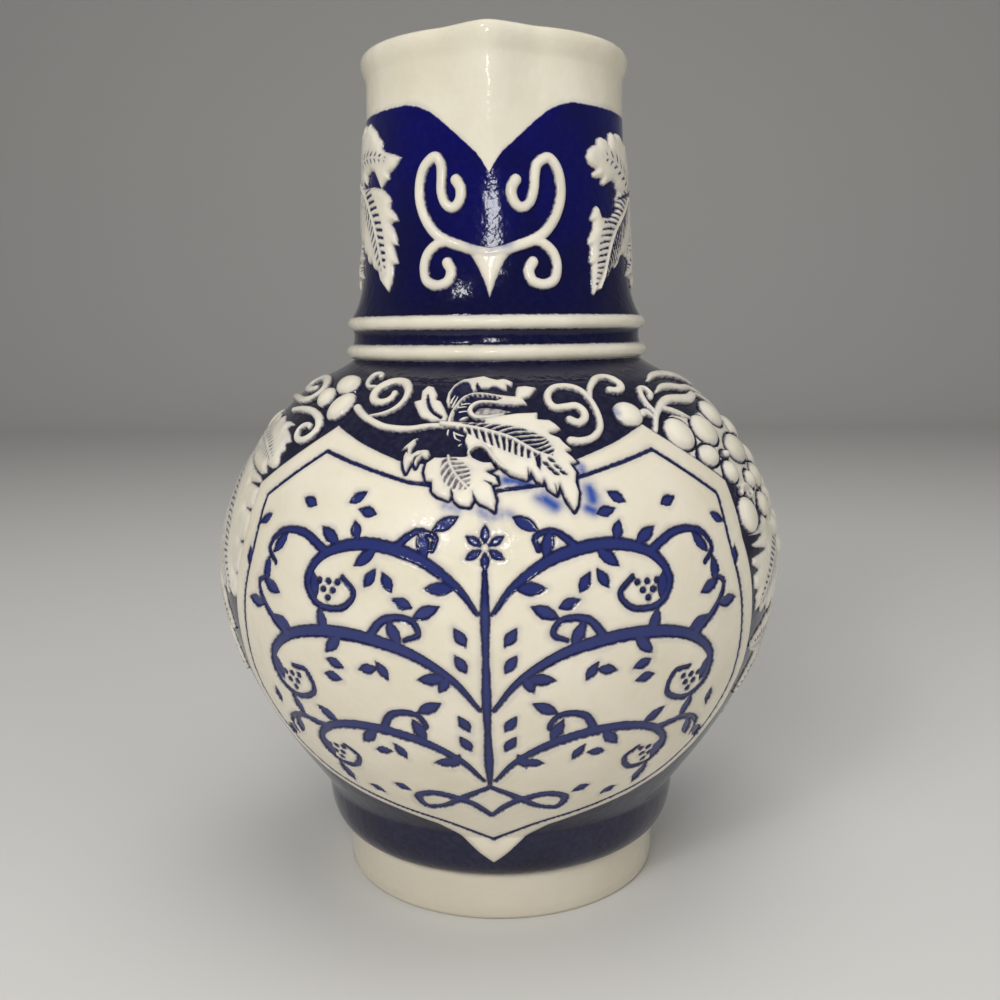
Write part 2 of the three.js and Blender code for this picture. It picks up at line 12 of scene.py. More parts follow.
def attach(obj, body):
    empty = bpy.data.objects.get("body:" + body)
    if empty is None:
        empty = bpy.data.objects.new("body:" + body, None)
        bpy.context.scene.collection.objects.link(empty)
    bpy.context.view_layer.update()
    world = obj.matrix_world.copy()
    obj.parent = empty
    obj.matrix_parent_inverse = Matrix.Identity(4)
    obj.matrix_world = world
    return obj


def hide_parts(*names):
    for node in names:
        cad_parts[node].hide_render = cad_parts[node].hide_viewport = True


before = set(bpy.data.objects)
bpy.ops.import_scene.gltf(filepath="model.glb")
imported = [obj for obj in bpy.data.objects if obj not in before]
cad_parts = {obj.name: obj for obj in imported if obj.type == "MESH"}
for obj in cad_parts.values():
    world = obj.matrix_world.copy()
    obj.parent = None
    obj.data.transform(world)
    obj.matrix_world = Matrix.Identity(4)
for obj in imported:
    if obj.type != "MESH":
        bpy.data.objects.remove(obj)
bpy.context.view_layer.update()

# Camera: held close, at two thirds of the pitcher's height and a little to the right of the
# spout, and tilted down towards the foot.
camera_distance = 0.292
camera_height = 0.147
camera_turn = math.radians(2.3)
camera_aside = math.radians(0.1)
camera_tilt = math.radians(90 - 9.07)
camera_roll = math.radians(-0.56)
bpy.ops.object.camera_add()
camera = bpy.context.object
camera.name = "camera"
camera.data.sensor_width = 36
camera.data.lens = 38.48
camera.data.clip_start = 0.01
camera_x = camera_distance * math.sin(camera_turn)
camera_y = -camera_distance * math.cos(camera_turn)
camera.matrix_world = (
    Matrix.Translation((camera_x, camera_y, camera_height))
    @ Matrix.Rotation(camera_turn - camera_aside, 4, "Z")
    @ Matrix.Rotation(camera_tilt, 4, "X")
    @ Matrix.Rotation(camera_roll, 4, "Z")
)
bpy.context.scene.camera = camera
bpy.context.scene.view_settings.view_transform = "Standard"


# Floor and backdrop: one pale sheet of matt paper, laid under the pitcher and swept up behind
# it in a wide curve.
def colour(code):
    """A colour written as six hex digits, as the shader wants it."""
    parts = [int(code[i:i + 2], 16) / 255 for i in (0, 2, 4)]
    return tuple(c / 12.92 if c < 0.04045 else ((c + 0.055) / 1.055) ** 2.4 for c in parts) + (1.0,)


def node(tree, kind, inputs=None, **settings):
    """Adds a shader node, sets its options and sets or links its inputs."""
    made = tree.nodes.new("ShaderNode" + kind)
    for key, value in settings.items():
        setattr(made, key, value)
    for socket, value in (inputs or {}).items():
        if isinstance(value, bpy.types.NodeSocket):
            tree.links.new(value, made.inputs[socket])
        else:
            made.inputs[socket].default_value = value
    return made


def material(name):
    """An empty node material and its tree."""
    made = bpy.data.materials.new(name)
    made.use_nodes = True
    made.node_tree.nodes.clear()
    return made, made.node_tree


paper_half_width = 3.0
paper_front = -1.2
paper_top = 2.6
sweep_start = 1.3
sweep_radius = 0.5
paper, tree = material("pale_paper")
sheen = node(tree, "BsdfPrincipled", {"Base Color": colour("D9D7D2"), "Roughness": 0.85})
node(tree, "OutputMaterial", {"Surface": sheen.outputs[0]})
bpy.ops.mesh.primitive_plane_add(size=1)
floor = bpy.context.object
floor.name = "floor"
sweep = [
    (sweep_start + sweep_radius * math.sin(a), sweep_radius - sweep_radius * math.cos(a))
    for a in np.linspace(0, math.pi / 2, 25)
]
paper_line = [(paper_front, 0.0)] + sweep + [(sweep_start + sweep_radius, paper_top)]
floor.data.clear_geometry()
floor.data.from_pydata(
    [(x, y, z) for y, z in paper_line for x in (-paper_half_width, paper_half_width)],
    [],
    [(2 * i, 2 * i + 1, 2 * i + 3, 2 * i + 2) for i in range(len(paper_line) - 1)],
)
floor.data.materials.append(paper)
bpy.ops.object.shade_smooth()

# Studio light: a soft box in front and above to the left and two wide fills that the glaze
# doesn't mirror, and two small lamps that give it its glint and its sparks.
for name, place, aim, size, power, mirrored_too in [
    ("key_light", (-0.5, -0.95, 0.72), (0, 0, 0.1), 0.55, 7.4, False),
    ("glint_light", (-0.5, -0.95, 0.74), (0, 0, 0.1), 0.13, 1.3, True),
    ("spark_light", (0.0, -0.31, 0.225), (0, 0, 0.12), 0.045, 0.13, True),
    ("top_light", (0.1, 0.05, 1.0), (0, 0, 0.1), 0.8, 3.6, False),
    ("fill_light", (1.0, -0.6, 0.45), (0, 0, 0.1), 0.9, 3.6, False),
]:
    bpy.ops.object.light_add(type="AREA", location=place)
    lamp = bpy.context.object
    lamp.name = name
    lamp.data.energy = power
    lamp.data.size = size
    lamp.visible_glossy = mirrored_too
    lamp.rotation_euler = (Vector(aim) - lamp.location).to_track_quat("-Z", "Y").to_euler()
room = bpy.context.scene.world or bpy.data.worlds.new("room")
bpy.context.scene.world = room
room.use_nodes = True
room.node_tree.nodes.clear()
dim = node(room.node_tree, "Background", {"Color": colour("DCDEE2"), "Strength": 0.22})
node(room.node_tree, "OutputWorld", {"Surface": dim.outputs[0]})


# Body: stoneware, thrown in one wall from the foot to the lip, then pinched into a keeled spout.
# The cobalt ground is washed on before the salt firing. It stops at the foot, at the two
# cordons and, on the neck, at a line drawn by hand.
def bezier(points, count):
    """Points along a Bezier curve, which is straight where it has only its two ends."""
    share = np.linspace(0, 1, count)[:, None]
    level = [np.array(p, float) + 0 * share for p in points]
    while len(level) > 1:
        level = [a * (1 - share) + b * share for a, b in zip(level, level[1:])]
    return level[0]


belly_line = np.vstack([
    bezier([(42.9, 12.4), (47.0, 13.7), (48.4, 19), (48.4, 25.5)], 22),
    bezier([(48.4, 25.5), (52.0, 33.1), (74.4, 55.8), (74.4, 86)], 46)[1:],
    bezier([(74.4, 86), (74.4, 107), (57.0, 129.2), (46.8, 134.8)], 44)[1:],
    bezier([(46.8, 134.8), (40.3, 137.6), (38.3, 139.5)], 12)[1:],
])
neck_line = np.vstack([
    bezier([(38.3, 150.5), (35.5, 154.8), (34.9, 162.9)], 16),
    bezier([(34.9, 162.9), (33.9, 186), (32.9, 204), (33.2, 209.4)], 54)[1:],
])
hollow_line = np.vstack([
    bezier([(28.8, 208.4), (30.1, 162.9)], 14),
    bezier([(30.1, 162.9), (30.1, 143.3), (33.5, 138.3), (43.8, 129.4)], 10)[1:],
    bezier([(43.8, 129.4), (59.8, 120.2), (68.4, 103.6), (68.4, 86)], 16)[1:],
    bezier([(68.4, 86), (68.4, 55.8), (42.4, 31.5), (36.9, 17.6)], 20)[1:],
    bezier([(36.9, 17.6), (32.1, 8), (24.9, 8)], 10)[1:],
    [(12, 8), (0, 8)],
])
foot_line = [
    (0, 0.5), (36, 0.5), (37, 0), (41.7, 0), (42.5, 0.3), (42.9, 1.2), (42.9, 4), (42.9, 8),
    (42.9, 12.2),
]
lip_line = [
    (33.28, 210), (33.7, 211), (34.15, 212.2), (34.4, 213.5), (34.35, 214.6), (34.0, 215.4),
    (33.4, 215.9), (32.4, 216.1), (31.4, 216.1), (30.4, 215.9), (29.5, 215.3), (29.0, 214.3),
    (28.8, 213), (28.75, 211),
]
cordon_line = np.array([(1.75 * math.sin(math.pi * t) ** 0.5, 3.8 * t) for t in np.linspace(0, 1, 21)])
cordons_line = np.vstack([
    cordon_line + (38.3, 139.6),
    [(38.2, 144.0), (38.0, 144.6), (38.0, 145.4), (38.0, 146.3), (38.2, 146.8)],
    cordon_line * (0.75, 0.87) + (38.3, 147.1),
])
wall_r, wall_z = np.vstack([belly_line, neck_line]).T
wall_s = np.concatenate([[0], np.cumsum(np.hypot(np.diff(wall_r), np.diff(wall_z)))])
spout_reach = 4.5
keel_foot = 174.2
keel_height = 42
keel_ridge = math.radians(4)
keel_half = math.radians(21)


def radius_at(z):
    """The outer wall's radius at a height."""
    return np.interp(z, wall_z, wall_r)


def length_at(z):
    """How far along the outer wall a height is, from the collar up."""
    return np.interp(z, wall_z, wall_s)


def core_at(z):
    """The radius half way through the wall."""
    return (np.interp(z, hollow_line[::-1, 1], hollow_line[::-1, 0]) + radius_at(z)) / 2


def pinch(turn, z):
    """How far the keel of the spout pushes the neck forwards, as a share of its reach."""
    full = math.hypot(keel_half, keel_ridge) - keel_ridge
    across = np.clip(1 - (np.hypot(turn, keel_ridge) - keel_ridge) / full, 0, 1) ** 1.6
    rise = np.clip((z - keel_foot) / keel_height, 0, 1)
    return across * rise * rise * (3 - 2 * rise)


def lay(turn, z, lift):
    """Where a spot of the outer wall is, in metres, moved out of it by lift millimetres."""
    slope = (radius_at(z + 0.4) - radius_at(z - 0.4)) / 0.8
    out = 1 / np.sqrt(1 + slope * slope)
    r = radius_at(z) + out * lift + spout_reach * pinch(turn, z)
    return np.stack([r * np.sin(turn), -r * np.cos(turn), z - slope * out * lift], -1) / 1000


def ground_edge(turn):
    """The height at which the neck's cobalt ground ends: it dips to a point under the spout."""
    away = [0, 2.5, 5, 10, 15, 20, 25, 30, 36, 180]
    heights = [183, 185.6, 187.7, 190.4, 193.1, 195.6, 197.7, 199, 199.9, 200]
    return np.interp(np.degrees(np.abs(turn)), away, heights)


def glaze(name, clay, ground, pool=None):
    """Salt glaze over clay and cobalt: glossy, dimpled and rippled. The attribute "bare" is how
    many millimetres a spot lies inside the clay left pale, below nought in the cobalt, which
    runs a little past its edge and turns to the pool's tone in the middle of a cut line.
    "smudge" is cobalt wiped on the clay."""
    made, tree = material(name)
    where = node(tree, "TexCoord").outputs["Object"]
    height = node(tree, "SeparateXYZ", {0: where}).outputs[2]
    edge = node(tree, "Attribute", attribute_name="bare").outputs["Fac"]
    wiped = node(tree, "Attribute", attribute_name="smudge").outputs["Fac"]

    # The cobalt's edge is ragged by 1 mm and bleeds by 6 mm, its clouds are 17 mm and its specks
    # 1.4 mm wide, the salt's dimples 2.4 mm and the ripples of the throwing 22 mm.
    ragged, wide, cloud, speck, peel, throw = (
        node(tree, "TexNoise", {"Vector": where, "Scale": per_metre, "Detail": detail}).outputs[0]
        for per_metre, detail in [(900, 3), (160, 4), (60, 6), (700, 2), (420, 2), (45, 2)]
    )
    shifted = node(tree, "Math", {0: ragged, 1: 0.5, 2: edge}, operation="MULTIPLY_ADD").outputs[0]
    shore = node(tree, "MapRange", {0: shifted, 1: 0.05, 2: 0.5}, interpolation_type="SMOOTHSTEP")
    bleed = node(tree, "Math", {0: wide, 1: 2.2, 2: edge}, operation="MULTIPLY_ADD").outputs[0]
    stain = node(
        tree, "MapRange", {0: bleed, 1: 0.9, 2: 2.6, 3: 0.2, 4: 0.0}, interpolation_type="SMOOTHSTEP",
    )
    patchy = node(tree, "MapRange", {0: wide, 1: 0.32, 2: 0.56}).outputs[0]
    cloth = node(tree, "Math", {0: wiped, 1: patchy}, operation="MULTIPLY")
    # The clay darkens and greys towards the bottom. It is darkest below 1 cm and fades out by 3 cm.
    low_darkening = node(tree, "MapRange", {0: height, 1: 0.01, 2: 0.03, 3: 0.7, 4: 0.0})
    calm = node(tree, "MapRange", {0: height, 1: 0.138, 2: 0.15, 3: 0.15, 4: 0.03}).outputs[0]
    mottle = node(tree, "MapRange", {0: speck, 1: 0.4, 2: 0.75, 3: 0.0, 4: calm})
    thick = node(tree, "MapRange", {0: cloud, 1: 0.45, 2: 0.68, 3: 0.0, 4: 0.45})

    # Tones of the clay, in clouds, and of the cobalt, from the foot to the lip, and what lies
    # over each.
    share_up = node(tree, "MapRange", {0: height, 1: 0.0, 2: 0.216}).outputs[0]
    clay_tone = node(tree, "ValToRGB", {0: cloud})
    ground_tone = node(tree, "ValToRGB", {0: share_up})
    for tone, steps in [(clay_tone, list(zip((0.3, 0.7), clay))), (ground_tone, ground)]:
        for stop, (at, code) in zip(tone.color_ramp.elements, (steps[0], steps[-1])):
            stop.position = at
            stop.color = colour(code)
        for at, code in steps[1:-1]:
            tone.color_ramp.elements.new(at).color = colour(code)
    over_clay = [(low_darkening, "C4BBA8"), (stain, "3B4690"), (cloth, "2C4C98")]
    over_ground = [(mottle, "50526A"), (thick, "0C0B1C")]
    if pool:
        deep = node(tree, "MapRange", {0: shifted, 1: -0.05, 2: -0.55, 3: 0.0, 4: 0.75})
        over_ground.append((deep, pool))
    mixed = []
    for tone, layers in [(ground_tone, over_ground), (clay_tone, over_clay)]:
        below = tone.outputs[0]
        for amount, code in layers:
            layer = {"Factor": amount.outputs[0], 6: below, 7: colour(code)}
            below = node(tree, "Mix", layer, data_type="RGBA").outputs[2]
        mixed.append(below)
    both = {"Factor": shore.outputs[0], 6: mixed[0], 7: mixed[1]}
    tint = node(tree, "Mix", both, data_type="RGBA").outputs[2]

    ripple = node(tree, "Bump", {"Height": throw, "Strength": 0.25, "Distance": 0.002}).outputs[0]
    dimple = {"Height": peel, "Normal": ripple, "Strength": 0.35, "Distance": 0.0004}
    skin = node(tree, "Bump", dimple).outputs[0]
    coat = {"Base Color": tint, "Roughness": 0.13, "IOR": 1.43, "Normal": skin}
    shader = node(tree, "BsdfPrincipled", coat)
    node(tree, "OutputMaterial", {"Surface": shader.outputs[0]})
    return made


section = np.vstack([foot_line, belly_line, cordons_line, neck_line, lip_line, hollow_line]) / 1000
bpy.ops.mesh.primitive_plane_add(size=1)
vessel = bpy.context.object
vessel.name = "thrown_body"
vessel.data.clear_geometry()
vessel.data.from_pydata(
    [(0, -r, z) for r, z in section], [(i, i + 1) for i in range(len(section) - 1)], []
)
bpy.ops.object.mode_set(mode="EDIT")
bpy.ops.mesh.select_all(action="SELECT")
bpy.ops.mesh.spin(steps=288, angle=2 * math.pi, center=(0, 0, 0), axis=(0, 0, 1))
bpy.ops.mesh.remove_doubles(threshold=1e-6)
bpy.ops.mesh.normals_make_consistent(inside=False)
bpy.ops.object.mode_set(mode="OBJECT")
bpy.ops.object.shade_smooth()
place = np.zeros(len(vessel.data.vertices) * 3)
vessel.data.vertices.foreach_get("co", place)
place = place.reshape(-1, 3) * 1000
high = place[:, 2]
around = np.arctan2(place[:, 0], -place[:, 1])
floor_top = 7.9
inside = (np.hypot(place[:, 0], place[:, 1]) < core_at(high)) & (high > floor_top)
foot_edge = 12.6
cordon_edges = [(141.5, 1.9), (148.75, 1.65)]
bare = np.maximum.reduce([
    high - ground_edge(around),
    *[half - np.abs(high - middle) for middle, half in cordon_edges],
    foot_edge - high,
    np.where(inside, 5.0, -5.0),
])
push = spout_reach * pinch(around, high)
place[:, 0] += push * np.sin(around)
place[:, 1] -= push * np.cos(around)
vessel.data.vertices.foreach_set("co", (place / 1000).ravel())
vessel.data.attributes.new("bare", "FLOAT", "POINT").data.foreach_set("value", bare)
vessel.data.update()
# The cobalt's tones up the body, as shares of its height: a mottled grey-blue over the belly and
# shoulder, then painted shade, near black in the groove between the cordons and at the foot of the
# neck, which lightens into the deep blue of the neck.
cobalt_ground_and_painted_shade = [
    (0.1, "1A1932"), (0.3, "191A3C"), (0.5, "181832"), (0.62, "17162C"), (0.66, "080830"),
    (0.7, "040430"), (0.78, "020248"), (0.9, "020258"),
]
body_glaze = glaze("cobalt_and_salt_glaze", ("D8D0B9", "E5DECC"), cobalt_ground_and_painted_shade)
vessel.data.materials.append(body_glaze)
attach(vessel, "root")
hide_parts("vessel")


# Neck scroll: two round arms that meet in a pointed stem under the spout, with a curl below
# each. Like most of the sprigs it is pressed from the body's own clay in a mould and stuck on
# with slip. Its glaze is cream, with cobalt in the hollows.
def spaced(share, values):
    """Values set evenly along a line, read at a share of its length."""
    return np.interp(share, np.linspace(0, 1, len(values)), values)


def smooth(spots, steps=7):
    """A rounded line through spots, which runs out straight at its two ends."""
    first, last = np.array(spots[0]), np.array(spots[-1])
    held = [2 * first - spots[1], *map(np.array, spots), 2 * last - spots[-2]]
    line = []
    for a, b, c, d in zip(held, held[1:], held[2:], held[3:]):
        for u in np.arange(steps) / steps:
            straight = 2 * b + (c - a) * u
            square = (2 * a - 5 * b + 4 * c - d) * u ** 2
            cube = (3 * b - a - 3 * c + d) * u ** 3
            line.append(0.5 * (straight + square + cube))
    return line + [held[-2]]


def turned(spots, side, offset=0):
    """The same drawing at another turn of the body, mirrored where side is -1."""
    return [(side * (turn + offset), z) for turn, z in spots]


def mirrored(spots):
    """The same drawing on the other side of the spout."""
    return turned(spots, -1)


class Sheet:
    """A patch of the outer wall, as a fine grid in turn and height. Each spot holds the clay's
    height over the wall and how far it lies inside the clay left bare of cobalt. The drawing
    moves round the body by shift degrees. On a sloping wall it moves down to where clay that
    stands drop millimetres proud is seen."""

    def __init__(self, turns, heights, step, shift=0.0, drop=0.0):
        self.shift = shift
        self.drop = drop
        low, high = length_at(heights)
        s = np.arange(low, high + step, step)
        first, last = (math.radians(turn + shift) for turn in turns)
        t = np.arange(first, last, step / radius_at(np.mean(heights)))
        self.t, self.s = np.meshgrid(t, s)
        self.z = np.repeat(np.interp(s, wall_s, wall_z)[:, None], len(t), 1)
        self.r = radius_at(self.z)
        self.lift = np.full(self.t.shape, -9.0)
        self.bare = np.full(self.t.shape, -9.0)
        self.wiped = np.zeros(self.t.shape)

    def drawn(self, spots):
        """Spots in degrees and millimetres of height, as turn and length along the wall."""
        turn, z = np.array(spots, float).T
        lean = np.arctan((radius_at(z - 1) - radius_at(z + 1)) / 2) - 0.15
        slip = self.drop * np.tan(np.clip(lean, 0, 1.1))
        return np.stack([np.radians(turn + self.shift), length_at(z) - slip], 1)

    def follow(self, spots):
        """For each grid spot: how far off the line it is, how far along and on which side. Last
        comes the length of the line."""
        line = self.drawn(spots)
        near = np.full(self.t.shape, 1e3)
        along = np.zeros(self.t.shape)
        side = np.zeros(self.t.shape)
        run = 0.0
        for (ta, sa), (tb, sb) in zip(line, line[1:]):
            dx, dy = (tb - ta) * self.r, sb - sa
            px, py = (self.t - ta) * self.r, self.s - sa
            share = np.clip((px * dx + py * dy) / np.maximum(dx * dx + dy * dy, 1e-9), 0, 1)
            gap = np.hypot(px - share * dx, py - share * dy)
            length = math.hypot((tb - ta) * np.interp((sa + sb) / 2, wall_s, wall_r), dy)
            closer = gap < near
            near = np.where(closer, gap, near)
            along = np.where(closer, run + share * length, along)
            side = np.where(closer, np.sign(dx * py - dy * px), side)
            run += length
        return near, along, side, run

    def within(self, outline):
        """How many millimetres each grid spot lies inside a closed outline."""
        ring = list(outline) + [outline[0]]
        line = self.drawn(ring)
        held = np.zeros(self.t.shape, bool)
        for (ta, sa), (tb, sb) in zip(line, line[1:]):
            if sa != sb:
                crossing = (tb - ta) * (self.s - sa) / (sb - sa) + ta
                held ^= ((sa > self.s) != (sb > self.s)) & (self.t < crossing)
        near = self.follow(ring)[0]
        return np.where(held, near, -near)

    def band(self, spots, widths):
        """How far each grid spot lies inside a strip along a line, with its widths along it."""
        near, along, _, run = self.follow(spots)
        return spaced(along / run, widths) / 2 - near

    def heap(self, depth, rise):
        """Adds clay up to its rise where depth is over nought, and leaves it bare of cobalt."""
        self.lift = np.maximum(self.lift, np.where(depth > 0, rise, 1.6 * depth))
        self.bare = np.maximum(self.bare, depth - 0.12)

    def swell(self, depth, tall, soft=0.6):
        """Raises a flat-topped pad of clay with a soft shoulder."""
        self.heap(depth, tall * (1 - np.exp(-np.abs(depth) / soft)))

    def pillow(self, outline, tall, soft=0.6):
        """Raises such a pad inside an outline."""
        self.swell(self.within(outline), tall, soft)

    def roll(self, spots, wide, tall, widths=None):
        """Raises a half-round roll of clay along a line."""
        depth = self.band(spots, widths or [wide])
        across = np.clip(1 - depth / (wide / 2), 0, 1)
        self.heap(depth, tall * (1 - across ** 2) ** 0.4)

    def grape(self, turn, z, wide, tall, proud, lean=0.0, moat=0.0):
        """Raises a flattened ball, as wide in degrees and as tall in millimetres as it is seen,
        and leaves a line of cobalt round it where it is pressed against others."""
        middle, level = self.drawn([(turn, z)])[0]
        high = np.diff(length_at([z - tall / 2, z + tall / 2]))[0] / 2
        broad = math.radians(wide) / 2
        over = (self.t - middle) / broad
        far = np.hypot(over, (self.s - level) / high - lean * over)
        out = (far - 1) * min(high, broad * radius_at(z))
        ball = proud * np.sqrt(np.clip(1 - far * far, 0, 1))
        if moat:
            self.lift = np.where(out < moat, np.minimum(self.lift, 0.1), self.lift)
            self.bare = np.where(out < moat, -0.5, np.minimum(self.bare, out - moat))
        self.lift = np.maximum(self.lift, np.where(far < 1, ball, -1.6 * out))
        self.bare = np.maximum(self.bare, -out - 0.2)

    def lobe(self, spots, share, teeth, tall):
        """Raises one tooth-edged lobe of a vine leaf about its rib. Gives the rib and how far
        its veins reach."""
        rib = smooth(spots)
        near, along, side, run = self.follow(rib)
        u = np.clip(along / run, 0, 1)
        saw = (u * teeth * 1.6 + 0.3 * side) % 1
        notch = np.where(saw < 0.8, 0.2 * saw / 0.8, 0.2 * (1 - saw) / 0.2)
        bulge = np.sin(math.pi * np.clip(u, 0.001, 0.999) ** 0.75) ** 0.7
        half = 0.5 * share * run * bulge * (1.16 - notch * 1.1)
        self.swell(np.where(half > 0.2, half - near, -near), tall)
        return rib, 0.32 * share * run

    def score(self, depth, cut):
        """Cuts strokes of an even depth into the clay and fills them with cobalt."""
        self.lift = self.lift - cut * np.clip(depth / 0.3 + 0.35, 0, 1) * (self.lift > 0)
        self.bare = np.minimum(self.bare, -depth)

    def groove(self, spots, widths, cut):
        """Cuts one stroke along a line."""
        self.score(self.band(spots, widths), cut)

    def veins(self, rib, pitch, lean, start, reach, wide, cut, sides=(1, -1), most=np.inf):
        """Cuts a comb of strokes beside a rib, a pitch apart and leaning along it, from start
        to reach millimetres off it. No spot counts as further inside a stroke than most."""
        near, along, side, run = self.follow(rib)
        root = along - lean * near - 0.05 * lean * near * near
        tooth = np.abs((root / pitch) % 1 - 0.5) * pitch / math.hypot(1, lean)
        far = spaced(np.clip(root / run, 0, 1), reach)
        taper = 1.15 - 0.5 * near / np.maximum(far, 0.1)
        depth = np.minimum.reduce([wide / 2 * taper - tooth, near - start, far - near])
        wanted = np.isin(side, sides) & (root > 0) & (along < 0.999 * run)
        self.score(np.minimum(np.where(wanted, depth, -1.0), most), cut)

    def sink(self, outline, level, most=np.inf):
        """Presses the clay down to a level inside an outline and fills it with cobalt."""
        depth = np.minimum(self.within(outline), most)
        share = np.clip(depth / 0.35 + 0.3, 0, 1)
        self.lift = np.where(self.lift > level, self.lift + share * (level - self.lift), self.lift)
        self.bare = np.minimum(self.bare, -depth)

    def hair(self, spots, wide=0.4):
        """Leaves a fine line of clay bare where cobalt was wiped off a low vein."""
        depth = self.band(smooth(spots), [wide, wide, 0.5 * wide])
        self.lift = np.where(depth > -0.1, self.lift + 0.12, self.lift)
        self.bare = np.maximum(self.bare, np.clip(3 * depth, -9, 0.5))

    def smudge(self, spots, wide):
        """Lets the cobalt stain the clay in a soft cloud about a line."""
        near = self.follow(spots)[0]
        self.wiped = np.maximum(self.wiped, np.exp(-((near / wide) ** 2)))

    def build(self, name, stands_for, look=None):
        """Makes the piece of what stands out of the wall, with its edge a little way inside it."""
        buried = -0.5
        lift = np.clip(self.lift, buried, None)
        lift[[0, -1]] = buried
        lift[:, [0, -1]] = buried
        above = lift > -0.3
        cell = above[:-1, :-1] | above[1:, :-1] | above[:-1, 1:] | above[1:, 1:]
        used = np.zeros(lift.shape, bool)
        for rows in (slice(None, -1), slice(1, None)):
            for columns in (slice(None, -1), slice(1, None)):
                used[rows, columns] |= cell
        number = np.cumsum(used.ravel()).reshape(used.shape) - 1
        row, column = np.nonzero(cell)
        corners = [(row, column), (row, column + 1), (row + 1, column + 1), (row + 1, column)]
        faces = np.stack([number[corner] for corner in corners], 1)
        mesh = bpy.data.meshes.new(name)
        mesh.from_pydata(lay(self.t[used], self.z[used], lift[used]), [], faces.tolist())
        for attribute, values in [("bare", self.bare), ("smudge", self.wiped)]:
            made = mesh.attributes.new(attribute, "FLOAT", "POINT")
            made.data.foreach_set("value", values[used])
        mesh.polygons.foreach_set("use_smooth", [True] * len(mesh.polygons))
        mesh.materials.append(look or sprig_glaze)
        piece = bpy.data.objects.new(name, mesh)
        bpy.context.collection.objects.link(piece)
        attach(piece, "root")
        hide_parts(stands_for)


cream_ink = [(0.0, "1A1B44"), (0.5, "17173A"), (0.62, "15153A"), (1.0, "08084A")]
sprig_glaze = glaze("cream_sprig_glaze", ("DBD3BD", "E8E1D0"), cream_ink)
arms = [
    [
        (10.3, 181.4), (8.6, 179.4), (9.3, 176.8), (12.3, 175.2), (15.6, 176.2), (17.4, 178.9),
        (17.9, 182), (18.7, 184.7), (21.3, 186.2),
    ],
    [
        (13, 181.6), (11.2, 179.6), (11.6, 176.9), (14.4, 175.3), (17.6, 176.4), (19.2, 179.2),
        (19.1, 182.4), (19.4, 185.4), (21.6, 187.1),
    ],
]
rest_of_arm = [
    (24.4, 186.5), (27.4, 184.4), (28.9, 181), (28.6, 177), (25.9, 172.8), (21.6, 169.5),
    (16.8, 167.7), (11, 166.4), (5.5, 165.3), (0, 164.7),
]
curl = [
    (8, 165.4), (12.6, 166.8), (17.2, 167.5), (21.3, 166.9), (25.1, 164.8), (26.6, 161.8),
    (25.2, 158.6), (20.9, 157.4), (16.4, 158.2), (15, 160.6), (16.6, 162.6),
]
stem = [(11.5, 166.2), (7.6, 164.2), (5.0, 161.8), (2.9, 159), (1.3, 156.5), (0, 154)]
scroll = Sheet(turns=(-36, 36), heights=(153, 190), step=0.3)
for side, arm in zip((list, mirrored), arms):
    arm_line = smooth(side(arm + rest_of_arm))
    scroll.roll(arm_line, wide=2.8, tall=1.2, widths=[2.9, 2.5, 2.7, 2.8, 2.8, 2.8, 2.6])
    scroll.roll(smooth(side(curl)), wide=2.7, tall=1.2, widths=[1.8, 2.5, 2.7, 2.7, 2.7, 2.9])
scroll.pillow(smooth(stem) + smooth(mirrored(stem)[::-1]) + [(0, 165.4)], tall=1.1, soft=0.7)
scroll.smudge([(-6, 167), (0, 166.2), (6, 167)], wide=1.6)
scroll.build("neck_scroll_sprig", "neck_scroll")

# Right neck leaf: a pressed vine leaf hangs at each side of the neck, an upper lobe over a long
# lower one, and a smaller one behind. Comb-like veins are cut beside the ribs, and the cobalt
# gathers in them. The vine and its leaves were stuck on a degree to the left of the spout.
vine_shift = -1.2
upper = [
    (43, 187.5), (44, 189.2), (47, 190.5), (49.5, 190.9), (50, 192.3), (53, 193), (57, 192.6),
    (57.8, 191.6), (58.3, 194), (61, 194.8), (64, 194.2), (66, 194.9), (69, 195), (74, 193.4),
    (77, 193.6), (80, 190.5), (84, 189), (88, 184), (90, 178), (78, 179), (66, 180.6), (63.8, 181.4),
    (63, 182.5), (61, 182.9), (58, 182.3), (54, 181.2), (51.3, 181.6), (52.3, 183), (49, 182.8),
    (46.8, 183), (46.5, 184), (49, 185), (47, 185.3), (44.5, 186),
]
lower = [
    (66, 181.2), (63.2, 178.8), (63.4, 176), (57.5, 173.9), (52, 174), (50.4, 176), (48.6, 176.6),
    (46.6, 175.6), (44.3, 173.2), (44.5, 172.7), (46.2, 172.4), (46, 171.3), (44.5, 169.8),
    (43, 168.2), (43, 167.2), (44.3, 166.6), (44, 164.5), (43.2, 162.7), (45, 162.1), (44.3, 160.5),
    (43.6, 157), (43, 155.2), (44.2, 154.8), (47, 156.3), (49, 157.8), (51, 159.5), (52, 160),
    (53.5, 159), (54.5, 159.3), (57, 161), (59, 162.2), (60.5, 161.6), (63, 162.5), (65, 164.2),
    (67, 165), (71, 165.3), (73, 164.7), (76, 167), (80, 168.6), (82, 168.2), (85, 172), (90, 176),
    (92, 181), (88, 184), (76, 182),
]
side_lobe = [
    (93, 178), (90, 173), (88, 170), (84, 167.8), (78, 166.6), (72.5, 165.5), (77.5, 164.4),
    (81, 163.8), (77, 162.2), (71.5, 160.2), (78, 159.8), (84, 159.4), (85.4, 157.2), (89, 158),
    (92, 156.6), (95, 159.4), (98.6, 160.4), (98, 164), (100.6, 167.6), (97.4, 171), (97, 176),
]
side_rib = smooth([(93, 175), (92, 170), (88, 165.6), (82, 162.4), (75, 160.8)])
side_reach = [0.8, 2.4, 2.8, 2.2, 1.2, 0.3]
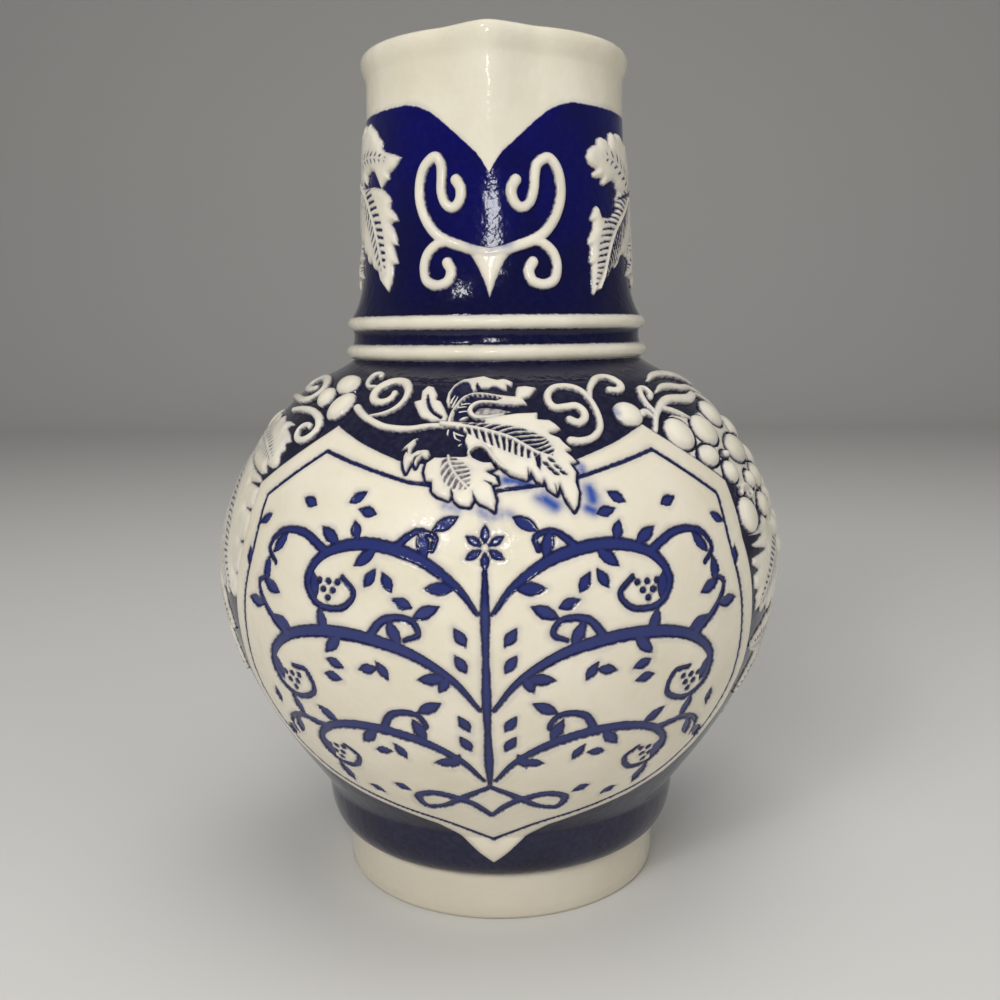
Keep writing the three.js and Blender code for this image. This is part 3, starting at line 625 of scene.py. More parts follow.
leaf_right = Sheet(turns=(40, 102), heights=(153, 197), step=0.28, shift=vine_shift)
for outline in (upper, lower, side_lobe):
    leaf_right.pillow(outline, tall=1.25)
leaf_right.veins(side_rib, pitch=1.9, lean=0.6, start=0.6, reach=side_reach, wide=0.7, cut=0.3)
leaf_right.roll(side_rib, wide=0.8, tall=1.45, widths=[1.2, 0.8, 0.5])
rib = smooth([
    (88, 182.4), (79, 179.8), (71, 176.1), (61.1, 171.2), (56.3, 167.1), (53.4, 163.2), (50.9, 159.7),
    (47, 156.4),
])
leaf_right.veins(
    rib, pitch=1.75, lean=0.55, start=0.8, reach=[0.1, 3.6, 5.6, 5.0, 4.0, 2.9, 1.2], wide=0.6,
    cut=0.3, sides=(-1,),
)
leaf_right.veins(
    rib, pitch=1.5, lean=0.7, start=0.55, reach=[0.1, 2.6, 4.2, 4.4, 4.0, 3.0, 0.9], wide=0.95,
    cut=0.4, sides=(1,),
)
leaf_right.roll(rib, wide=0.8, tall=1.5)
vein = smooth([(88, 184), (76, 184.2), (68, 186), (60, 188), (52, 188.2)])
leaf_right.veins(
    vein, pitch=2.6, lean=0.8, start=0.5, reach=[1.2, 1.9, 2.0, 1.7, 0.2], wide=0.6, cut=0.3,
)
fold = smooth([(86, 181.6), (78, 180.6), (70, 179.6), (64, 178.6)])
leaf_right.groove(fold, widths=[1.2, 0.8, 0.9, 0.2], cut=0.4)
leaf_right.build("neck_leaf_right_sprig", "neck_leaf_right")

# Front vine spray: leaves pressed in one mould and hung from one joint of the cane, over the
# shield's upper edge. Their hollows are filled with cobalt. The cane and its coil are rolled
# strands of clay, stuck on beside them.
main_leaf = [
    (-7.5, 127.3), (-3.5, 127), (1.9, 127.9), (5.3, 128.5), (7.9, 128.8), (13, 128.9), (12.7, 127.5),
    (15.2, 127.3), (16.5, 126.4), (17.6, 125.1), (14.8, 124.4), (16.7, 123.6), (17.5, 122.5),
    (18.9, 121), (17.6, 120.6), (18.6, 119.6), (19.4, 118.4), (18, 118), (18.8, 116.4), (18.3, 114.4),
    (18.6, 112.4), (18, 109.8), (17.1, 108.4), (16, 110.5), (15.4, 112.4), (15.1, 114), (14.3, 111.9),
    (12.8, 113.1), (12.2, 115), (11.8, 114.1), (10.7, 114.9), (9.8, 116.9), (9.4, 115.5),
    (8.8, 115.1), (5.8, 116.2), (4.1, 117.8), (2.6, 119.6), (1.9, 121.2), (0.6, 122), (-0.8, 121.8),
    (-2.3, 120.7), (-3.2, 121.6), (-4.6, 122.4), (-6.2, 123.8), (-8, 125.2),
]
upper_leaf = [
    (-7.8, 127.2), (-7.3, 129.1), (-6, 131.3), (-4, 132.8), (-1.5, 133.2), (1.5, 133.1), (5.6, 132.6),
    (7.9, 132.4), (8.1, 133.3), (8.6, 134.4), (10.9, 134.6), (14.2, 134.1), (11.8, 132.2),
    (10.1, 131.8), (10.9, 130.6), (7.9, 130.4), (3.6, 130.9), (-0.6, 131), (-2.9, 129.8),
    (-2.6, 128.2), (-4, 127.4),
]
top_lobe = [
    (-8.4, 130.2), (-9.3, 131.5), (-9.4, 133.2), (-8.4, 134.9), (-6.2, 135.9), (-3.6, 136.2),
    (-0.2, 136.6), (1.9, 136.1), (3.6, 135.8), (5.3, 136), (6.4, 135.8), (8.1, 135.3), (7.5, 134.5),
    (6.3, 134.9), (6.2, 133.7), (4.5, 133.9), (2.4, 134.1), (0, 134.2), (-1.6, 133.9), (-2.8, 133.1),
    (-6, 131), (-7.3, 130.3),
]
low_leaf = [
    (-10.8, 118.6), (-10.9, 116.7), (-10.2, 114.9), (-9.1, 114.9), (-8.8, 112.9), (-7.5, 111.8),
    (-5.5, 111.1), (-4.9, 112.2), (-4.5, 111.1), (-3.2, 110), (-1.5, 109.8), (-0.8, 111.5),
    (0.2, 110.5), (1.7, 109.8), (2.9, 108.9), (3.2, 111.3), (2.4, 114.3), (3.7, 114.4), (3.2, 116),
    (1.5, 117), (3.1, 117.6), (2.4, 118.9), (1.1, 119.6), (-0.6, 120.1), (-3.5, 120.3), (-6, 120.4),
    (-9.2, 119.9),
]
leaflet = [
    (-13.5, 123.9), (-14.6, 123.4), (-15.8, 122.3), (-17, 120.8), (-15.9, 121.3), (-15.5, 121.2),
    (-15.9, 119.9), (-15.7, 118.6), (-15.2, 117.4), (-14.5, 116.3), (-14.1, 117.5), (-13.7, 118.6),
    (-13.3, 118.4), (-12.7, 117.5), (-12.4, 118.7), (-11.8, 119.8), (-11.3, 119.5), (-10.5, 119.5),
    (-10.1, 120.4), (-10.6, 121.4), (-11.8, 121.7), (-13.1, 121.2), (-14.1, 120.5), (-14, 121.5),
    (-13.4, 122.8),
]
bud = [
    (-8, 127), (-11.7, 127.2), (-14.3, 127.9), (-16, 129.5), (-17.7, 131.3), (-16, 131.7),
    (-16.7, 133.5), (-15.6, 134.8), (-13.5, 134.5), (-12, 133.1), (-11.6, 131.8), (-10.4, 131.5),
    (-9.1, 130.2), (-7.6, 128.2),
]
heart = [
    (-14, 123.4), (-12, 123.2), (-9.5, 124.8), (-7.5, 126), (-4.6, 125.3), (-3, 124.4), (-3.2, 123),
    (-2.6, 121.6), (-2.8, 119.9), (-5.8, 119.8), (-8, 119.6), (-10, 120.2), (-10.6, 121.2),
    (-13, 121.2),
]
spray_tall = [
    (bud, 0.9), (leaflet, 1.1), (top_lobe, 0.9), (upper_leaf, 1.0), (low_leaf, 1.15), (main_leaf, 1.25),
]
spray = Sheet(turns=(-20, 21), heights=(105, 137.5), step=0.19, shift=vine_shift, drop=1.0)
for outline, tall in spray_tall:
    spray.pillow(outline, tall, soft=0.3)
cove = [
    (-6.4, 127), (-6.4, 128.6), (-5.6, 130.2), (-4.3, 131.6), (-2.6, 132.2), (-0.4, 132.2),
    (2.4, 131.9), (4, 131.5), (1.6, 131.2), (-0.8, 131), (-2.5, 130.4), (-3.2, 129.4), (-3, 128.4),
    (-1.8, 127.7), (0.4, 127.3), (0.6, 126.6), (-3, 126.8), (-5.2, 127.1),
]
arch = [
    (-8.1, 131.4), (-8.3, 133.2), (-7.2, 134.7), (-5.4, 135.3), (-3.9, 135), (-3.2, 133.9),
    (-2.6, 133.2), (-4.8, 132.4), (-6.3, 131), (-7, 129.4), (-7.7, 130.2),
]
rift = [
    (-2.2, 134.4), (-1.8, 135), (-0.8, 134.3), (1, 134.2), (3, 134.5), (5, 133.8), (6.4, 133.7),
    (7.4, 134.7), (8.5, 134.4), (8.1, 133.1), (6.6, 132.6), (4, 132.9), (1, 133.2), (-1.4, 133.5),
]
for hollow, level in [(heart, 0.3), (cove, 0.35), (arch, 0.3), (rift, 0.3)]:
    spray.sink(smooth(hollow + hollow[:1], 4), level)
main_rib = smooth([
    (-6.9, 126.3), (-4, 126), (-0.6, 125.5), (3.2, 124.6), (6.4, 123.5), (9, 122), (11.6, 120.4),
    (14.4, 119.4),
])
spray.veins(
    main_rib, pitch=1.75, lean=1.0, start=0.4, reach=[0.3, 1.1, 1.5, 2.4, 3.6, 4.2, 3.4, 2.2, 0.8],
    wide=0.95, cut=0.5, sides=(1,),
)
spray.veins(
    main_rib, pitch=1.6, lean=0.5, start=0.4, reach=[0.2, 1.6, 2.8, 3.4, 3.6, 3.2, 2.6, 0.2, 0.1],
    wide=0.85, cut=0.5, sides=(-1,),
)
upper_rib = smooth([
    (-7.2, 127), (-6.8, 129), (-5.4, 131.2), (-3.2, 132.5), (-0.4, 132.7), (2.6, 132.4), (5, 131.9),
])
spray.veins(
    upper_rib, pitch=1.15, lean=0.6, start=0.2, reach=[0.2, 0.4, 0.8, 1.2, 1.3, 1.1, 0.5], wide=0.7,
    cut=0.4, sides=(-1,),
)
oval = smooth([
    (-1.9, 129.2), (-0.4, 130.2), (3, 130.1), (5.6, 129.8), (8.6, 129.6), (5, 129), (2, 128.4),
    (-0.6, 128.3), (-1.9, 129.2),
], 5)
spray.pillow(oval, tall=0.5)
spray.sink(oval, level=0.3, most=-0.03)
spray.sink([(4.6, 129.9), (8.8, 130.2), (8.6, 129.1), (4.6, 129.5)], level=0.2)
eye = [
    (8.4, 130.4), (5, 130.7), (2, 131), (-0.6, 131), (-2.3, 130.3), (-2.8, 129.3), (-2.2, 128.4),
    (-0.8, 127.9), (2, 128), (5, 128.5),
]
eye_widths = [0.7, 1.0, 1.1, 1.1, 1.3, 1.4, 1.2, 1.0, 0.6]
spray.roll(smooth(eye), wide=1.1, tall=1.2, widths=eye_widths)
for turn, z in [(-4.6, 130.2), (-4, 129.3), (-3.8, 130.9)]:
    spray.hair([(turn - 1.3, z - 0.2), (turn, z), (turn + 0.9, z)], wide=0.35)
spray.roll([(-4.9, 127.5), (-3.9, 127.8), (-3.2, 128)], wide=0.9, tall=0.8, widths=[0.5, 1.0, 0.6])
spray.roll(upper_rib, wide=0.8, tall=1.2, widths=[1.0, 0.8, 0.7, 0.7, 0.4])
spray.roll(main_rib, wide=0.9, tall=1.45, widths=[1.6, 1.0, 0.9, 0.8, 0.7, 0.6, 0.3])
wiped_veins = [
    [(-7.2, 125.4), (-7.4, 123), (-6.6, 120.6), (-6.1, 119.2)],
    [(-8.6, 125.9), (-9.8, 125), (-11, 124.3)],
    [(-8.2, 125.6), (-9, 124.6), (-9.6, 123.6)],
    [(-5.9, 125), (-5.4, 123.8), (-4.2, 123.2)],
    [(-5.6, 124.8), (-4.8, 124.5), (-3.6, 124.2)],
    [(-5.8, 122.8), (-4.8, 122.3), (-3.9, 122.6)],
    [(-5.8, 121.8), (-4.9, 121.4), (-4.1, 121.6)],
    [(-7.8, 130.9), (-7.6, 131.8), (-7.2, 132.6)],
    [(-7.3, 130.2), (-6.8, 131.4), (-6.4, 132.4)],
]
for line in wiped_veins:
    spray.hair(line)
nook = [
    (-1.5, 119.7), (-1.6, 120.7), (-0.8, 121.4), (0.4, 121.3), (1.3, 120.4), (2.4, 119), (0.8, 118.7),
    (-0.6, 119.2), (-1.5, 119.7),
]
spray.sink(smooth(nook, 4), level=0.3)
curled_edge = [
    (-1.7, 119.4), (-2.3, 120.6), (-1.6, 121.7), (-0.2, 122.1), (1.2, 121.6), (2.2, 120.3),
    (3.4, 118.8), (5, 117.5), (7, 116.5), (8.6, 116),
]
spray.roll(smooth(curled_edge), wide=1.0, tall=1.4, widths=[0.8, 1.1, 1.1, 1.1, 1.1, 1.0, 0.9])
low_rib = smooth([(-6.3, 120), (-5.9, 118.6), (-5, 117), (-3.6, 115.2), (-2, 113.6)])
spray.veins(
    low_rib, pitch=1.35, lean=0.45, start=0.35, reach=[1.2, 2.6, 3.0, 2.6, 1.6, 0.4], wide=0.7,
    cut=0.55, most=0.05,
)
spray.roll(low_rib, wide=0.7, tall=1.3, widths=[0.8, 0.7, 0.6, 0.3])
bud_fold = smooth([(-14.2, 132.4), (-13.2, 130.6), (-11.6, 129), (-9.4, 127.9)])
spray.groove(bud_fold, widths=[0.4, 0.9, 0.9, 0.9], cut=0.5)
creases = [
    [(-13.4, 118.6), (-13, 119.6), (-12, 120.4)],
    [(-15.4, 121.2), (-14.8, 120.4)],
    [(-4.9, 112.4), (-5.2, 113.6)],
    [(-0.7, 111.4), (-1.2, 113)],
    [(2.2, 114.5), (1, 115)],
    [(9.4, 115.6), (9.2, 117.4)],
    [(14.4, 112.2), (14, 114)],
]
for crease in creases:
    spray.groove(crease, widths=[0.6, 0.1], cut=0.4)
spray.sink([(10.8, 119.6), (11.9, 120.2), (12, 118.6), (11.6, 116.8), (11, 117.8)], level=0.6)
for turn, z in [(12.8, 118.1), (13.6, 117.1), (14.4, 116.2), (14, 118.8), (15, 117.4), (16, 116.2)]:
    spray.groove([(turn - 0.5, z + 0.35), (turn + 0.5, z - 0.35)], widths=[0.5, 0.9, 0.4], cut=0.5)
spray.roll([(-8.8, 126.5), (-6.9, 126.3)], wide=1.6, tall=1.5)
cane = [
    (-7, 126.3), (-10, 126.3), (-12.5, 126.1), (-15.5, 125.6), (-18.5, 125.5), (-22.3, 125.8),
    (-25.5, 126.6), (-28.9, 127.7), (-31.4, 128.8), (-33, 129.6),
]
coil = [
    (-27.5, 128), (-24.5, 128.5), (-22.3, 129.3), (-20.8, 130.5), (-20.1, 132), (-20.5, 133.6),
    (-22.2, 134.9), (-25, 135.4), (-28, 135.1), (-30.1, 134), (-30.3, 132.5), (-29, 131.3),
    (-26.8, 130.9), (-24.9, 131.3), (-24, 132.2), (-24.1, 132.9),
]
coil_widths = [0.8, 1.3, 1.7, 2.3, 2.8, 3.0, 2.5, 2.2, 1.9]
twig = Sheet(turns=(-36, -5), heights=(121, 137.5), step=0.25, shift=vine_shift, drop=1.0)
twig.roll(smooth(cane), wide=1.9, tall=1.1, widths=[1.4, 1.6, 1.9, 1.9, 2.0, 2.2])
twig.roll(smooth(coil), wide=2.4, tall=1.2, widths=coil_widths)
twig.build("front_cane_sprig", "front_vine_spray")
spray.build("front_vine_sprig", "front_vine_spray")

# Shield: a thin plate of bare clay stuck over the front of the belly, with a frame line and
# leafy scrollwork cut into the damp clay and filled with cobalt.
edge = [
    (0, 117), (18, 118.8), (28, 122), (36, 124.9), (37.2, 125.4), (39.5, 123.6), (55.5, 111.1),
    (54.5, 98), (57, 81), (59, 66), (58, 55), (53, 45), (46, 38.8), (36.4, 34.8), (26, 31.9),
    (15.6, 28.8), (9, 24.9), (4, 20.7), (0, 18),
]
frame_line = [
    (0, 112.5), (15, 114.3), (36, 119.6), (42, 115), (49.5, 108.8), (49, 97), (51.8, 82), (54, 66),
    (53, 57), (49, 47.5), (40.5, 40), (27, 35), (13, 31), (6, 28), (0, 25),
]
shield = Sheet(turns=(-61, 61), heights=(16, 127), step=0.42)
shield.pillow(edge + mirrored(edge[1:-1])[::-1], tall=0.75, soft=0.8)
rounded_frame = frame_line[:5] + smooth(frame_line[4:14]) + frame_line[14:]
for side in (list, mirrored):
    shield.groove(side(rounded_frame), widths=[1.0], cut=0.3)

# A scroll is a line with its widths, and blades stand off it at shares of its length. A drop is
# a turn, a height and the way it points, in degrees.
scrolls = [
    (
        [
            (1.2, 88), (5, 94), (12, 99.5), (21, 101.5), (29, 99), (32.5, 93), (30, 87.8), (25, 87.6),
            (22.6, 91), (25, 94.2),
        ],
        [0.7, 1.4, 1.9, 1.9, 1.6, 1.2, 1.0, 0.9],
    ),
    (
        [
            (1.2, 66), (6, 73.5), (14, 79.5), (25, 82), (36, 80), (43, 74), (43.5, 67), (39, 63.6),
            (34, 66), (34.6, 71), (38, 71.6),
        ],
        [0.7, 1.4, 1.9, 2.0, 1.7, 1.3, 1.0, 0.9],
    ),
    (
        [
            (1.2, 46), (6, 52.5), (14, 57.5), (24, 59.3), (33, 57), (38, 51.5), (36, 46.6), (31, 46),
            (28.6, 49.4), (31, 52),
        ],
        [0.7, 1.3, 1.8, 1.8, 1.5, 1.1, 1.0, 0.9],
    ),
    ([(16, 100.8), (12, 104.5), (8.6, 103.6), (9, 100.9)], [1.4, 1.1, 0.9, 0.9]),
    ([(29, 99), (35, 102.5), (41, 102), (43.5, 98), (41, 95)], [1.5, 1.3, 1.0, 0.8]),
    ([(20, 81.6), (17, 86), (12.6, 86.4), (11, 83.4), (13.4, 81.8)], [1.4, 1.2, 1.0, 0.8]),
    ([(38, 79), (43, 84), (45.6, 89.6), (42.6, 92)], [1.5, 1.3, 1.0, 0.7]),
    ([(20, 59), (17.4, 63.6), (13, 64.2), (11.2, 61.2), (13.4, 59.6)], [1.4, 1.2, 1.0, 0.8]),
    ([(34, 56.6), (41, 57.6), (46, 55), (46.6, 51)], [1.4, 1.2, 1.0, 0.7]),
    (
        [(0, 34), (5, 38.6), (12, 41), (17, 39.4), (16, 36.2), (11, 37), (5, 41), (0, 44)],
        [1.0, 1.4, 1.5, 1.3, 1.1, 1.3, 1.0],
    ),
]
long_shares = (0.1, 0.2, 0.3, 0.4, 0.5, 0.66)
blade_shares = [long_shares] * 3 + [(0.5,), (0.4, 0.8)] * 3 + [()]
drops = [
    (33.6, 108.4, 15), (20, 107.6, 10), (26, 109.6, 150), (24, 106, 250), (3.2, 55, 60),
    (3.2, 60.4, 60), (3.2, 75, 60), (3.2, 81, 60), (20.6, 92.6, 120), (15.6, 92, 60), (12, 89, 20),
    (50.4, 97, 260), (45.4, 105, 330), (30, 71.6, 190), (17, 72.4, 60), (16.6, 51.6, 60),
    (26.4, 38.6, 20), (33.6, 42, 30), (22, 42.6, 200), (29, 75.4, 200), (22.4, 74, 170),
    (23, 52.8, 175), (46.6, 63.5, 280), (8, 70.2, 120), (7.4, 50, 120),
]
berries = [(27.8, 93), (38.9, 69.4), (33.9, 51.2)]
berry_spots = [(-1.9, 0), (0, 0), (1.9, 0), (-1, -1.8), (1, -1.8), (0, -3.5)]
flower_height = 101.5
mm_per_degree = 1.25
strokes = [([(0, 44), (0, 97)], [1.0, 2.3, 1.6, 2.3, 1.6, 2.3, 1.2])]
for (line, widths), shares in zip(scrolls, blade_shares):
    path = np.array(smooth(line))
    strokes += [(side(path), [1.65 * width for width in widths]) for side in (list, mirrored)]
    for k, share in enumerate(shares):
        at = int(share * len(path))
        turn, z = path[at]
        ahead = path[at + 1] - path[at - 1]
        way = math.atan2(ahead[1], mm_per_degree * ahead[0]) + (0.8 if k % 2 else -0.8)
        over, up = math.cos(way) / mm_per_degree, math.sin(way)
        blade = [(turn + far * over, z + far * up) for far in (0.9, 7.2)]
        strokes += [(side(blade), [0.6, 2.5, 3.2, 2.3, 0.3]) for side in (list, mirrored)]
for turn, z, way in drops:
    a = math.radians(way)
    drop = [(turn, z), (turn + 3.8 * math.cos(a), z + 4.7 * math.sin(a))]
    strokes += [(side(drop), [0.5, 2.3, 2.8, 1.8, 0.3]) for side in (list, mirrored)]
for a in np.radians(range(30, 390, 60)):
    petal = [
        (far * math.cos(a), flower_height + mm_per_degree * far * math.sin(a)) for far in (0.9, 3.6)
    ]
    strokes.append((petal, [0.8, 2.1, 2.0, 0.6]))
for turn, z in berries:
    for over, up in berry_spots:
        for side in (1, -1):
            spot = (side * (turn + over), z + up)
            strokes.append(([spot, (spot[0] + 0.1, spot[1])], [1.6]))
ornament = np.full(shield.t.shape, -np.inf)
for line, widths in strokes:
    ornament = np.maximum(ornament, shield.band(line, widths))
shield.score(ornament, cut=0.5)

# Beside the spray the plate is stained, and under it the plate sinks and cobalt fills the gap.
# Both are drawn where the spray is.
smears = [
    ([(20.7, 112.8), (20.8, 110.6)], 1.9),
    ([(19.6, 109), (20.6, 108.4)], 1.4),
    ([(11.2, 111.8), (13.6, 109.8)], 1.8),
    ([(0.6, 108.6), (5, 107.8)], 1.7),
    ([(-6, 110), (-4, 109)], 1.2),
    ([(19.8, 117.2), (19.8, 116.2)], 1.2),
    ([(5, 115.2), (9, 114.2)], 1.4),
]
shield.shift = spray.shift
shield.drop = spray.drop
for smear, wide in smears:
    shield.smudge(smear, wide)
for outline in (main_leaf, top_lobe, low_leaf, leaflet, bud, upper_leaf, heart):
    beside = shield.within(outline)
    shield.bare = np.minimum(shield.bare, np.maximum(-0.55 - beside, -0.3))
    shield.lift -= np.clip((beside + 0.9) / 0.5, 0, 1) * np.clip(shield.lift - 0.15, 0, 1)
shield_ink = [(0.0, "181A48"), (1.0, "14163E")]
shield_glaze = glaze("shield_glaze", ("D9D0B9", "E4DCC9"), shield_ink, pool="2C3672")
shield.build("shield_plate", "shield_panel", shield_glaze)

# Tendrils and single grapes of the shoulder: rolled strands of clay that end in a coil, and
# flattened balls, each pressed on by itself. A tendril is the turns that its sheet covers, and
# its strands, each a line with its widths.
tendrils = {
    "front_tendril": (
        (14, 42),
        [
            (
                [
                    (19, 122.9), (21.2, 122.7), (23.8, 123.2), (26.2, 124.8), (27.2, 127),
                    (27.3, 129.8), (26.6, 132.2), (24.9, 133.7), (21.8, 134.3), (18.6, 134),
                    (16.5, 132.7), (16.1, 131), (17.4, 129.8), (20.2, 129.9), (22.7, 130),
                    (24, 128.8), (23.6, 127.3), (21.8, 126.5), (20, 127.2),
                ],
                [2.2, 1.9, 1.8, 2.0, 2.2, 2.2],
            ),
            (
                [
                    (27.2, 131.4), (28.4, 133.2), (30.6, 134.7), (34, 135.7), (37.6, 135.7),
                    (39.4, 134.6), (38.7, 133.4), (36.6, 132.9), (34.6, 133.1),
                ],
                [1.4, 1.9, 2.2, 2.4, 2.4, 2.2],
            ),
        ],
    ),
    "left_tendril": (
        (-62, -39),
        [
            (
                [
                    (-61, 127.8), (-56, 128.3), (-50, 128.2), (-46, 127.4), (-43.6, 126.4),
                    (-42.2, 125), (-42.4, 123.5), (-43.8, 122.3), (-46, 121.7), (-48.3, 122.3),
                    (-49.2, 123.7), (-48.3, 124.8), (-46.6, 125.1), (-45.4, 124.8),
                ],
                [1.8, 2.1, 2.2, 2.6, 2.2, 2.0, 1.8],
            ),
        ],
    ),
    "left_upper_tendril": (
        (-80, -51),
        [
            (
                [
                    (-79, 130), (-74, 130.4), (-68, 130.4), (-61, 130.2), (-56, 130.8),
                    (-53.9, 132.4), (-55.4, 134), (-60, 135.1), (-66, 135.3), (-70, 134.4),
                    (-69, 133), (-64, 132.6), (-60, 133),
                ],
                [1.8, 2.2, 2.4, 2.6, 2.6, 2.6, 2.2],
            ),
        ],
    ),
    "small_left_tendril": (
        (-40, -31),
        [
            (
                [
                    (-31.8, 134.2), (-34.2, 134.2), (-36, 134.9), (-37.3, 135.8), (-37.6, 136.5),
                    (-36.3, 136.8), (-34.8, 136.6), (-33.9, 136.2),
                ],
                [1.2, 1.5, 1.7, 2.0, 1.7],
            ),
        ],
    ),
    "right_tendril": (
        (37.4, 90),
        [
            (
                [
                    (40.9, 123.9), (43.2, 126.4), (45.6, 128), (49, 129.4), (53, 130.2), (58, 130.1),
                    (64, 129.8), (70, 130.4),
                ],
                [1.6, 2.0, 2.6, 3.0, 3.2, 2.6],
            ),
            (
                [
                    (44.2, 127.6), (43.3, 129.6), (43.7, 131.6), (45.2, 132.9), (47.2, 132.9),
                    (47.6, 131.7), (46.4, 131),
                ],
                [1.6, 1.9, 2.0, 1.8],
            ),
            ([(47, 128.6), (51, 127.6), (54.5, 126.2), (56.6, 125.4)], [1.6, 2.2, 2.0, 0.6]),
            (
                [(50.6, 132), (55, 132.9), (60, 133), (66, 132.4), (73, 132), (80, 130)],
                [1.0, 2.4, 2.6, 2.4, 2.4, 1.6],
            ),
            (
                [(52, 134.6), (57, 135.4), (63, 135.7), (70, 135.5), (78, 134.6), (85, 132.4)],
                [1.0, 2.4, 3.0, 3.2, 3.2, 2.4],
            ),
            ([(74, 130.4), (80, 128.2), (87, 125.4)], [1.0, 2.4, 2.0]),
            ([(39.6, 127.6), (41.2, 127.9), (42.6, 126.8)], [2.2, 2.2, 1.2]),
        ],
    ),
}
for name, (turns, strands) in tendrils.items():
    sheet = Sheet(turns, heights=(119, 138), step=0.25, shift=vine_shift, drop=1.0)
    for spots, widths in strands:
        sheet.roll(smooth(spots), wide=2.0, tall=1.15, widths=widths)
    sheet.build(name + "_sprig", name)
single_grapes = {
    "front_grape": (35.6, 127.9, 8.4, 5.3, 0.0),
    "left_grape_low": (-38.9, 129.8, 8.2, 6.0, 0.1),
    "left_grape_top": (-43.8, 134.7, 11.8, 3.4, -0.35),
    "left_grape_outer": (-48, 131.5, 7.8, 4.1, -0.25),
    "right_low_grape": (60.4, 102.6, 8.4, 8.6, 0.0),
}
top_height = 139
for name, (turn, z, wide, tall, lean) in single_grapes.items():
    heights = (z - 6, min(z + 6, top_height))
    sheet = Sheet((turn - wide, turn + wide), heights, step=0.25, shift=vine_shift, drop=1.2)
    sheet.grape(turn, z, wide, tall, proud=1.9, lean=lean)
    if name == "front_grape":
        sheet.smudge([(turn - 3.6, z + 1.6), (turn - 3.4, z)], wide=0.9)
    sheet.build(name + "_sprig", name)

# Grape bunches: balls of clay pressed together on a thin backing, with cobalt run in between,
# and a small curl beside them. The left bunch is shorter and has a stalk of its own.
bunch = [
    (82, 121, 10, 7), (84, 113.4, 9.5, 7.4), (71.5, 125.6, 13, 6.4), (59.2, 122.6, 11, 7.2),
    (48.1, 122.6, 9.6, 7.2), (72, 117, 16, 7), (61.1, 116.5, 3.4, 2), (54.2, 117.1, 8, 5),
    (59.8, 112.7, 6.2, 5.4), (76.5, 109.6, 9.5, 6.4), (68.6, 109.6, 6, 4.6), (79, 103.6, 8.4, 7),
    (87.5, 106, 8, 7), (71.4, 103.2, 8, 6.2), (83, 97.4, 7.5, 6.4), (75.5, 97, 7.5, 6),
    (78.6, 91.4, 7, 6),
]
backing = [
    (44, 121.6), (45.8, 125.8), (50, 127), (56, 126.4), (64, 126.6), (72, 129.4), (80, 128),
    (87, 122), (90, 113), (91, 105), (86, 96), (79, 88.6), (74.5, 92), (72.6, 96.5), (69.4, 99),
    (66.6, 103), (66, 106.6), (62.4, 107.6), (60.5, 109.4), (56.8, 111.4), (53, 114.4), (49, 117.4),
]
small_curl = smooth([
    (60.4, 107.6), (62, 108.8), (64.4, 108.9), (66, 107.6), (65.4, 106.2), (63.6, 106.2), (63, 107.3),
])
bunch_stalk = smooth([(-118, 127), (-114, 129.4), (-109, 131), (-104, 131.6)])
for name, side, offset, count, lowest, shift in [
    ("right_grape_bunch", 1, 0, 17, 86, vine_shift),
    ("left_grape_bunch", -1, 41.5, 14, 98, 0.0),
]:
    turns = sorted((side * (42 + offset), side * (93 + offset)))
    sheet = Sheet(turns, heights=(86, 133), step=0.3, shift=shift, drop=0.8)
    outline = [(turn, z) for turn, z in backing if z > lowest]
    sheet.pillow(turned(outline, side, offset), tall=0.6)
    sheet.roll(turned(small_curl, side, offset), wide=1.3, tall=1.2, widths=[1.6, 1.3, 1.1])
    if name == "left_grape_bunch":
        sheet.roll(bunch_stalk, wide=1.9, tall=1.1, widths=[1.5, 1.9, 2.3])
    for turn, z, wide, tall in bunch[:count]:
        sheet.grape(side * (turn + offset), z, wide, tall, proud=2.0, moat=0.45)
    sheet.build(name + "_sprig", name)

# Side leaves: two large pressed vine leaves that carry the vine round the belly, one beside each
# edge of the shield.
upper_left = [
    (-89.6, 121), (-86.4, 121.6), (-85.6, 124), (-82, 123.4), (-80, 125.6), (-76, 124.4),
    (-72.6, 126.2), (-69, 124.8), (-65.4, 126.2), (-62, 125), (-58, 125.3), (-53.5, 124.7),
    (-57, 123.7), (-53, 122.6), (-49.8, 121), (-51.9, 120.3), (-50.5, 119), (-51.6, 118.1),
    (-49.9, 116.2), (-50.3, 115.1), (-52, 114.5), (-55.5, 115), (-53.4, 113.3), (-56, 112.7),
    (-62, 113.6), (-70, 115), (-78, 116), (-88, 118),
]
long_left = [
    (-82, 116.5), (-70, 115), (-62, 113.4), (-56, 112.4), (-54, 111.6), (-54.3, 110.9), (-60, 110.5),
    (-54, 110), (-53, 108), (-52.1, 105.8), (-52.4, 105), (-56.5, 104.8), (-52.5, 104.2),
    (-51.7, 102.5), (-51.6, 100), (-52, 97.6), (-55, 97.2), (-52.1, 96.6), (-52.2, 94), (-52.4, 91.5),
    (-52.9, 89.7), (-55.5, 89.4), (-53.1, 88.6), (-53.4, 86.5), (-54.5, 84), (-56.8, 82.8),
    (-59, 84.4), (-60.5, 82.4), (-62.4, 84.6), (-65.4, 83), (-66.6, 86), (-70.2, 84.6), (-71.2, 88),
    (-75, 86.8), (-75.8, 90.2), (-79.6, 89.6), (-80, 93.4), (-84.2, 93.4), (-84, 97.4), (-88.2, 98.8),
    (-86.8, 102.4), (-90.8, 104.8), (-88.8, 108.2), (-91.2, 111.8), (-88, 114), (-87.4, 117),
]
